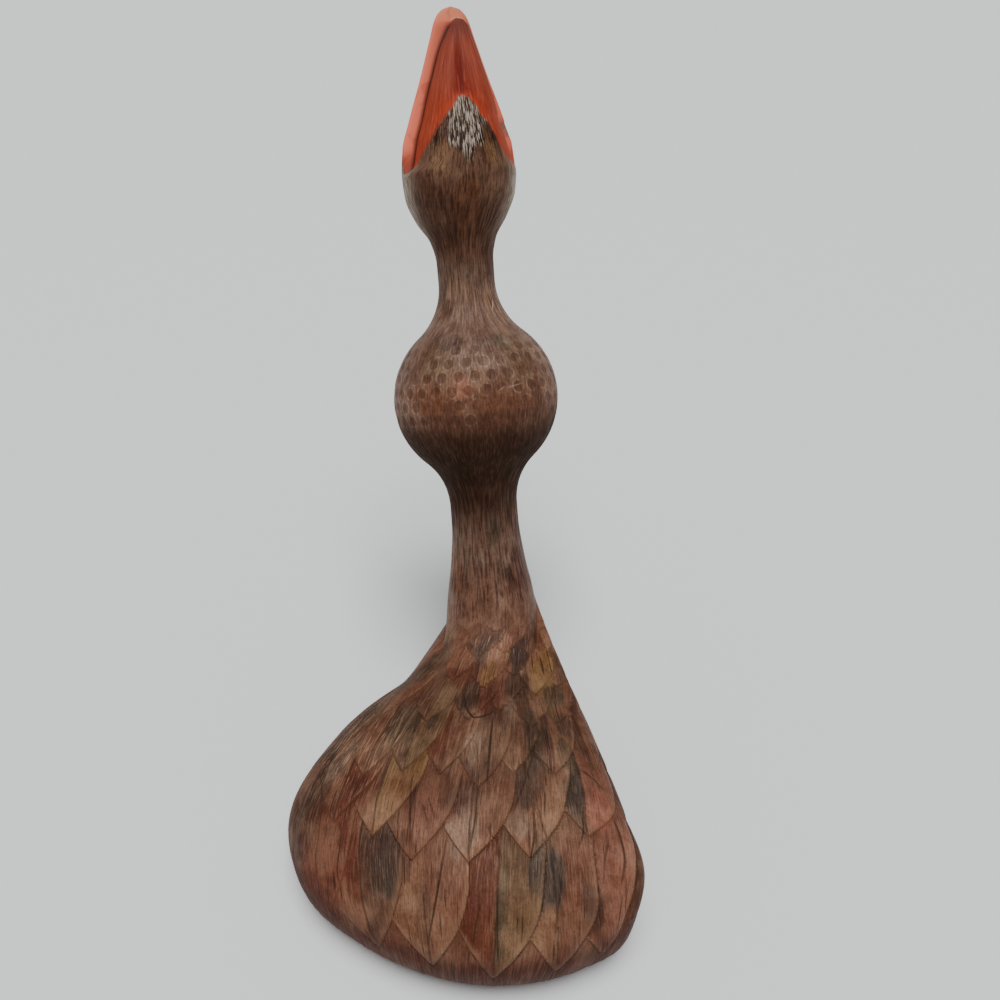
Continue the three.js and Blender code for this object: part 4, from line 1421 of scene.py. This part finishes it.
    # Painted bill with a ragged root and a worn spot; painted eyes, and painted shade in the mouth's
    # groove, the nostrils and the rings round the eyes
    painted = n.ramp(n.plus(bill, n.times(n.minus(short, 0.5), 2.8)), -0.25, 0.25)
    paint = n.attribute("paint", "Color")
    paint = n.shade(n.ramp(band, 0.45, 0.65, 0.0, 0.6), paint, DARK_PAINT_BAND)
    paint = n.shade(n.ramp(hair, 0.52, 0.66, 0.0, 0.5), paint, DARK_PAINT_HAIR)
    paint = n.blend(n.ramp(hair, 0.44, 0.34, 0.0, 0.12), paint, rgba("bill light"))
    surface = n.blend(painted, wood, paint)
    surface = n.blend(n.times(chip, n.ramp(mottle, 0.4, 0.6, 0.5, 1.0)), surface, rgba("pink brown", 0.8))
    # Painted eyes, and painted shade in the mouth, nostrils and eye rings
    surface = n.blend(n.times(dark, 0.9), surface, rgba("eye"))

    relief = n.plus(n.times(hair, -0.3), n.times(fine, -0.12))
    relief = n.times(relief, n.ramp(painted, 0.0, 1.0, 1.0, 0.3))
    relief = n.minus(n.minus(relief, n.times(cuts, 0.18)), n.times(in_dimple, 0.12))
    bump = n.make("Bump", {"Strength": BUMP_STRENGTH, "Distance": MM, "Height": relief})[0]
    roughness = n.mix_value(burned_and_shaded, n.ramp(hair, 0.35, 0.65, 0.42, 0.58), BURNED_AND_SHADED_ROUGHNESS)
    for name, value in (
        ("Base Color", surface),
        ("Roughness", n.mix_value(painted, roughness, PAINT_ROUGHNESS)),
        ("Specular IOR Level", SPECULAR_LEVEL),
        ("Specular Tint", SPECULAR_TINT),
        ("Normal", bump),
    ):
        n.put(n.shader.inputs[name], value)
    return n.material


FLOOR_SIZE = 40.0
FLOOR_COLOUR = (0.90, 0.93, 0.93, 1.0)
FLOOR_ROUGHNESS = 0.8
# Where the photograph was taken from, in millimetres, and how the camera is turned
CAMERA_PLACE = (0.23, -161.94, 216.01)
CAMERA_RIGHT = (0.99921, 0.0, -0.03978)
CAMERA_UP = (0.03082, 0.63215, 0.77423)
CAMERA_BACK = (0.02515, -0.77484, 0.63165)
CAMERA_LENS = 30.06
CAMERA_SHIFT = 0.075
CAMERA_SENSOR = 36
CAMERA_NEAR = 0.01
WORLD_COLOUR = (1.0, 1.0, 1.0, 1.0)
WORLD_STRENGTH = 0.26
LIGHT_STRENGTH = 2.75
LIGHT_SPREAD = 34
LIGHT_ELEVATION = 84
LIGHT_AZIMUTH = -84


def make_camera():
    data = bpy.data.cameras.new("camera")
    data.lens = CAMERA_LENS
    data.sensor_width = CAMERA_SENSOR
    data.shift_x = CAMERA_SHIFT
    data.clip_start = CAMERA_NEAR
    camera = add_object("camera", data)
    turn = Matrix((CAMERA_RIGHT, CAMERA_UP, CAMERA_BACK)).transposed().to_4x4()
    camera.matrix_world = Matrix.Translation([value * MM for value in CAMERA_PLACE]) @ turn
    bpy.context.scene.camera = camera


def make_floor():
    mesh = bpy.data.meshes.new("floor")
    r = FLOOR_SIZE / 2
    mesh.from_pydata([(-r, -r, 0), (r, -r, 0), (r, r, 0), (-r, r, 0)], [], [(0, 1, 2, 3)])
    n = Nodes("pale_floor")
    n.put(n.shader.inputs["Base Color"], FLOOR_COLOUR)
    n.put(n.shader.inputs["Roughness"], FLOOR_ROUGHNESS)
    mesh.materials.append(n.material)
    add_object("floor", mesh)


def make_light():
    world = bpy.data.worlds.new("pale_room")
    world.use_nodes = True
    background = world.node_tree.nodes["Background"]
    background.inputs["Color"].default_value = WORLD_COLOUR
    background.inputs["Strength"].default_value = WORLD_STRENGTH
    bpy.context.scene.world = world
    data = bpy.data.lights.new("ceiling", "SUN")
    data.energy = LIGHT_STRENGTH
    data.angle = np.radians(LIGHT_SPREAD)
    light = add_object("ceiling", data)
    tilt, way = np.radians(90 - LIGHT_ELEVATION), np.radians(LIGHT_AZIMUTH)
    light.matrix_world = Matrix.Rotation(way, 4, "Z") @ Matrix.Rotation(tilt, 4, "Y")


make_camera()
goose = make_goose()
goose.data.materials.append(wood_material())
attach(goose, "root")
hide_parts("goose_carving")
make_floor()
make_light()
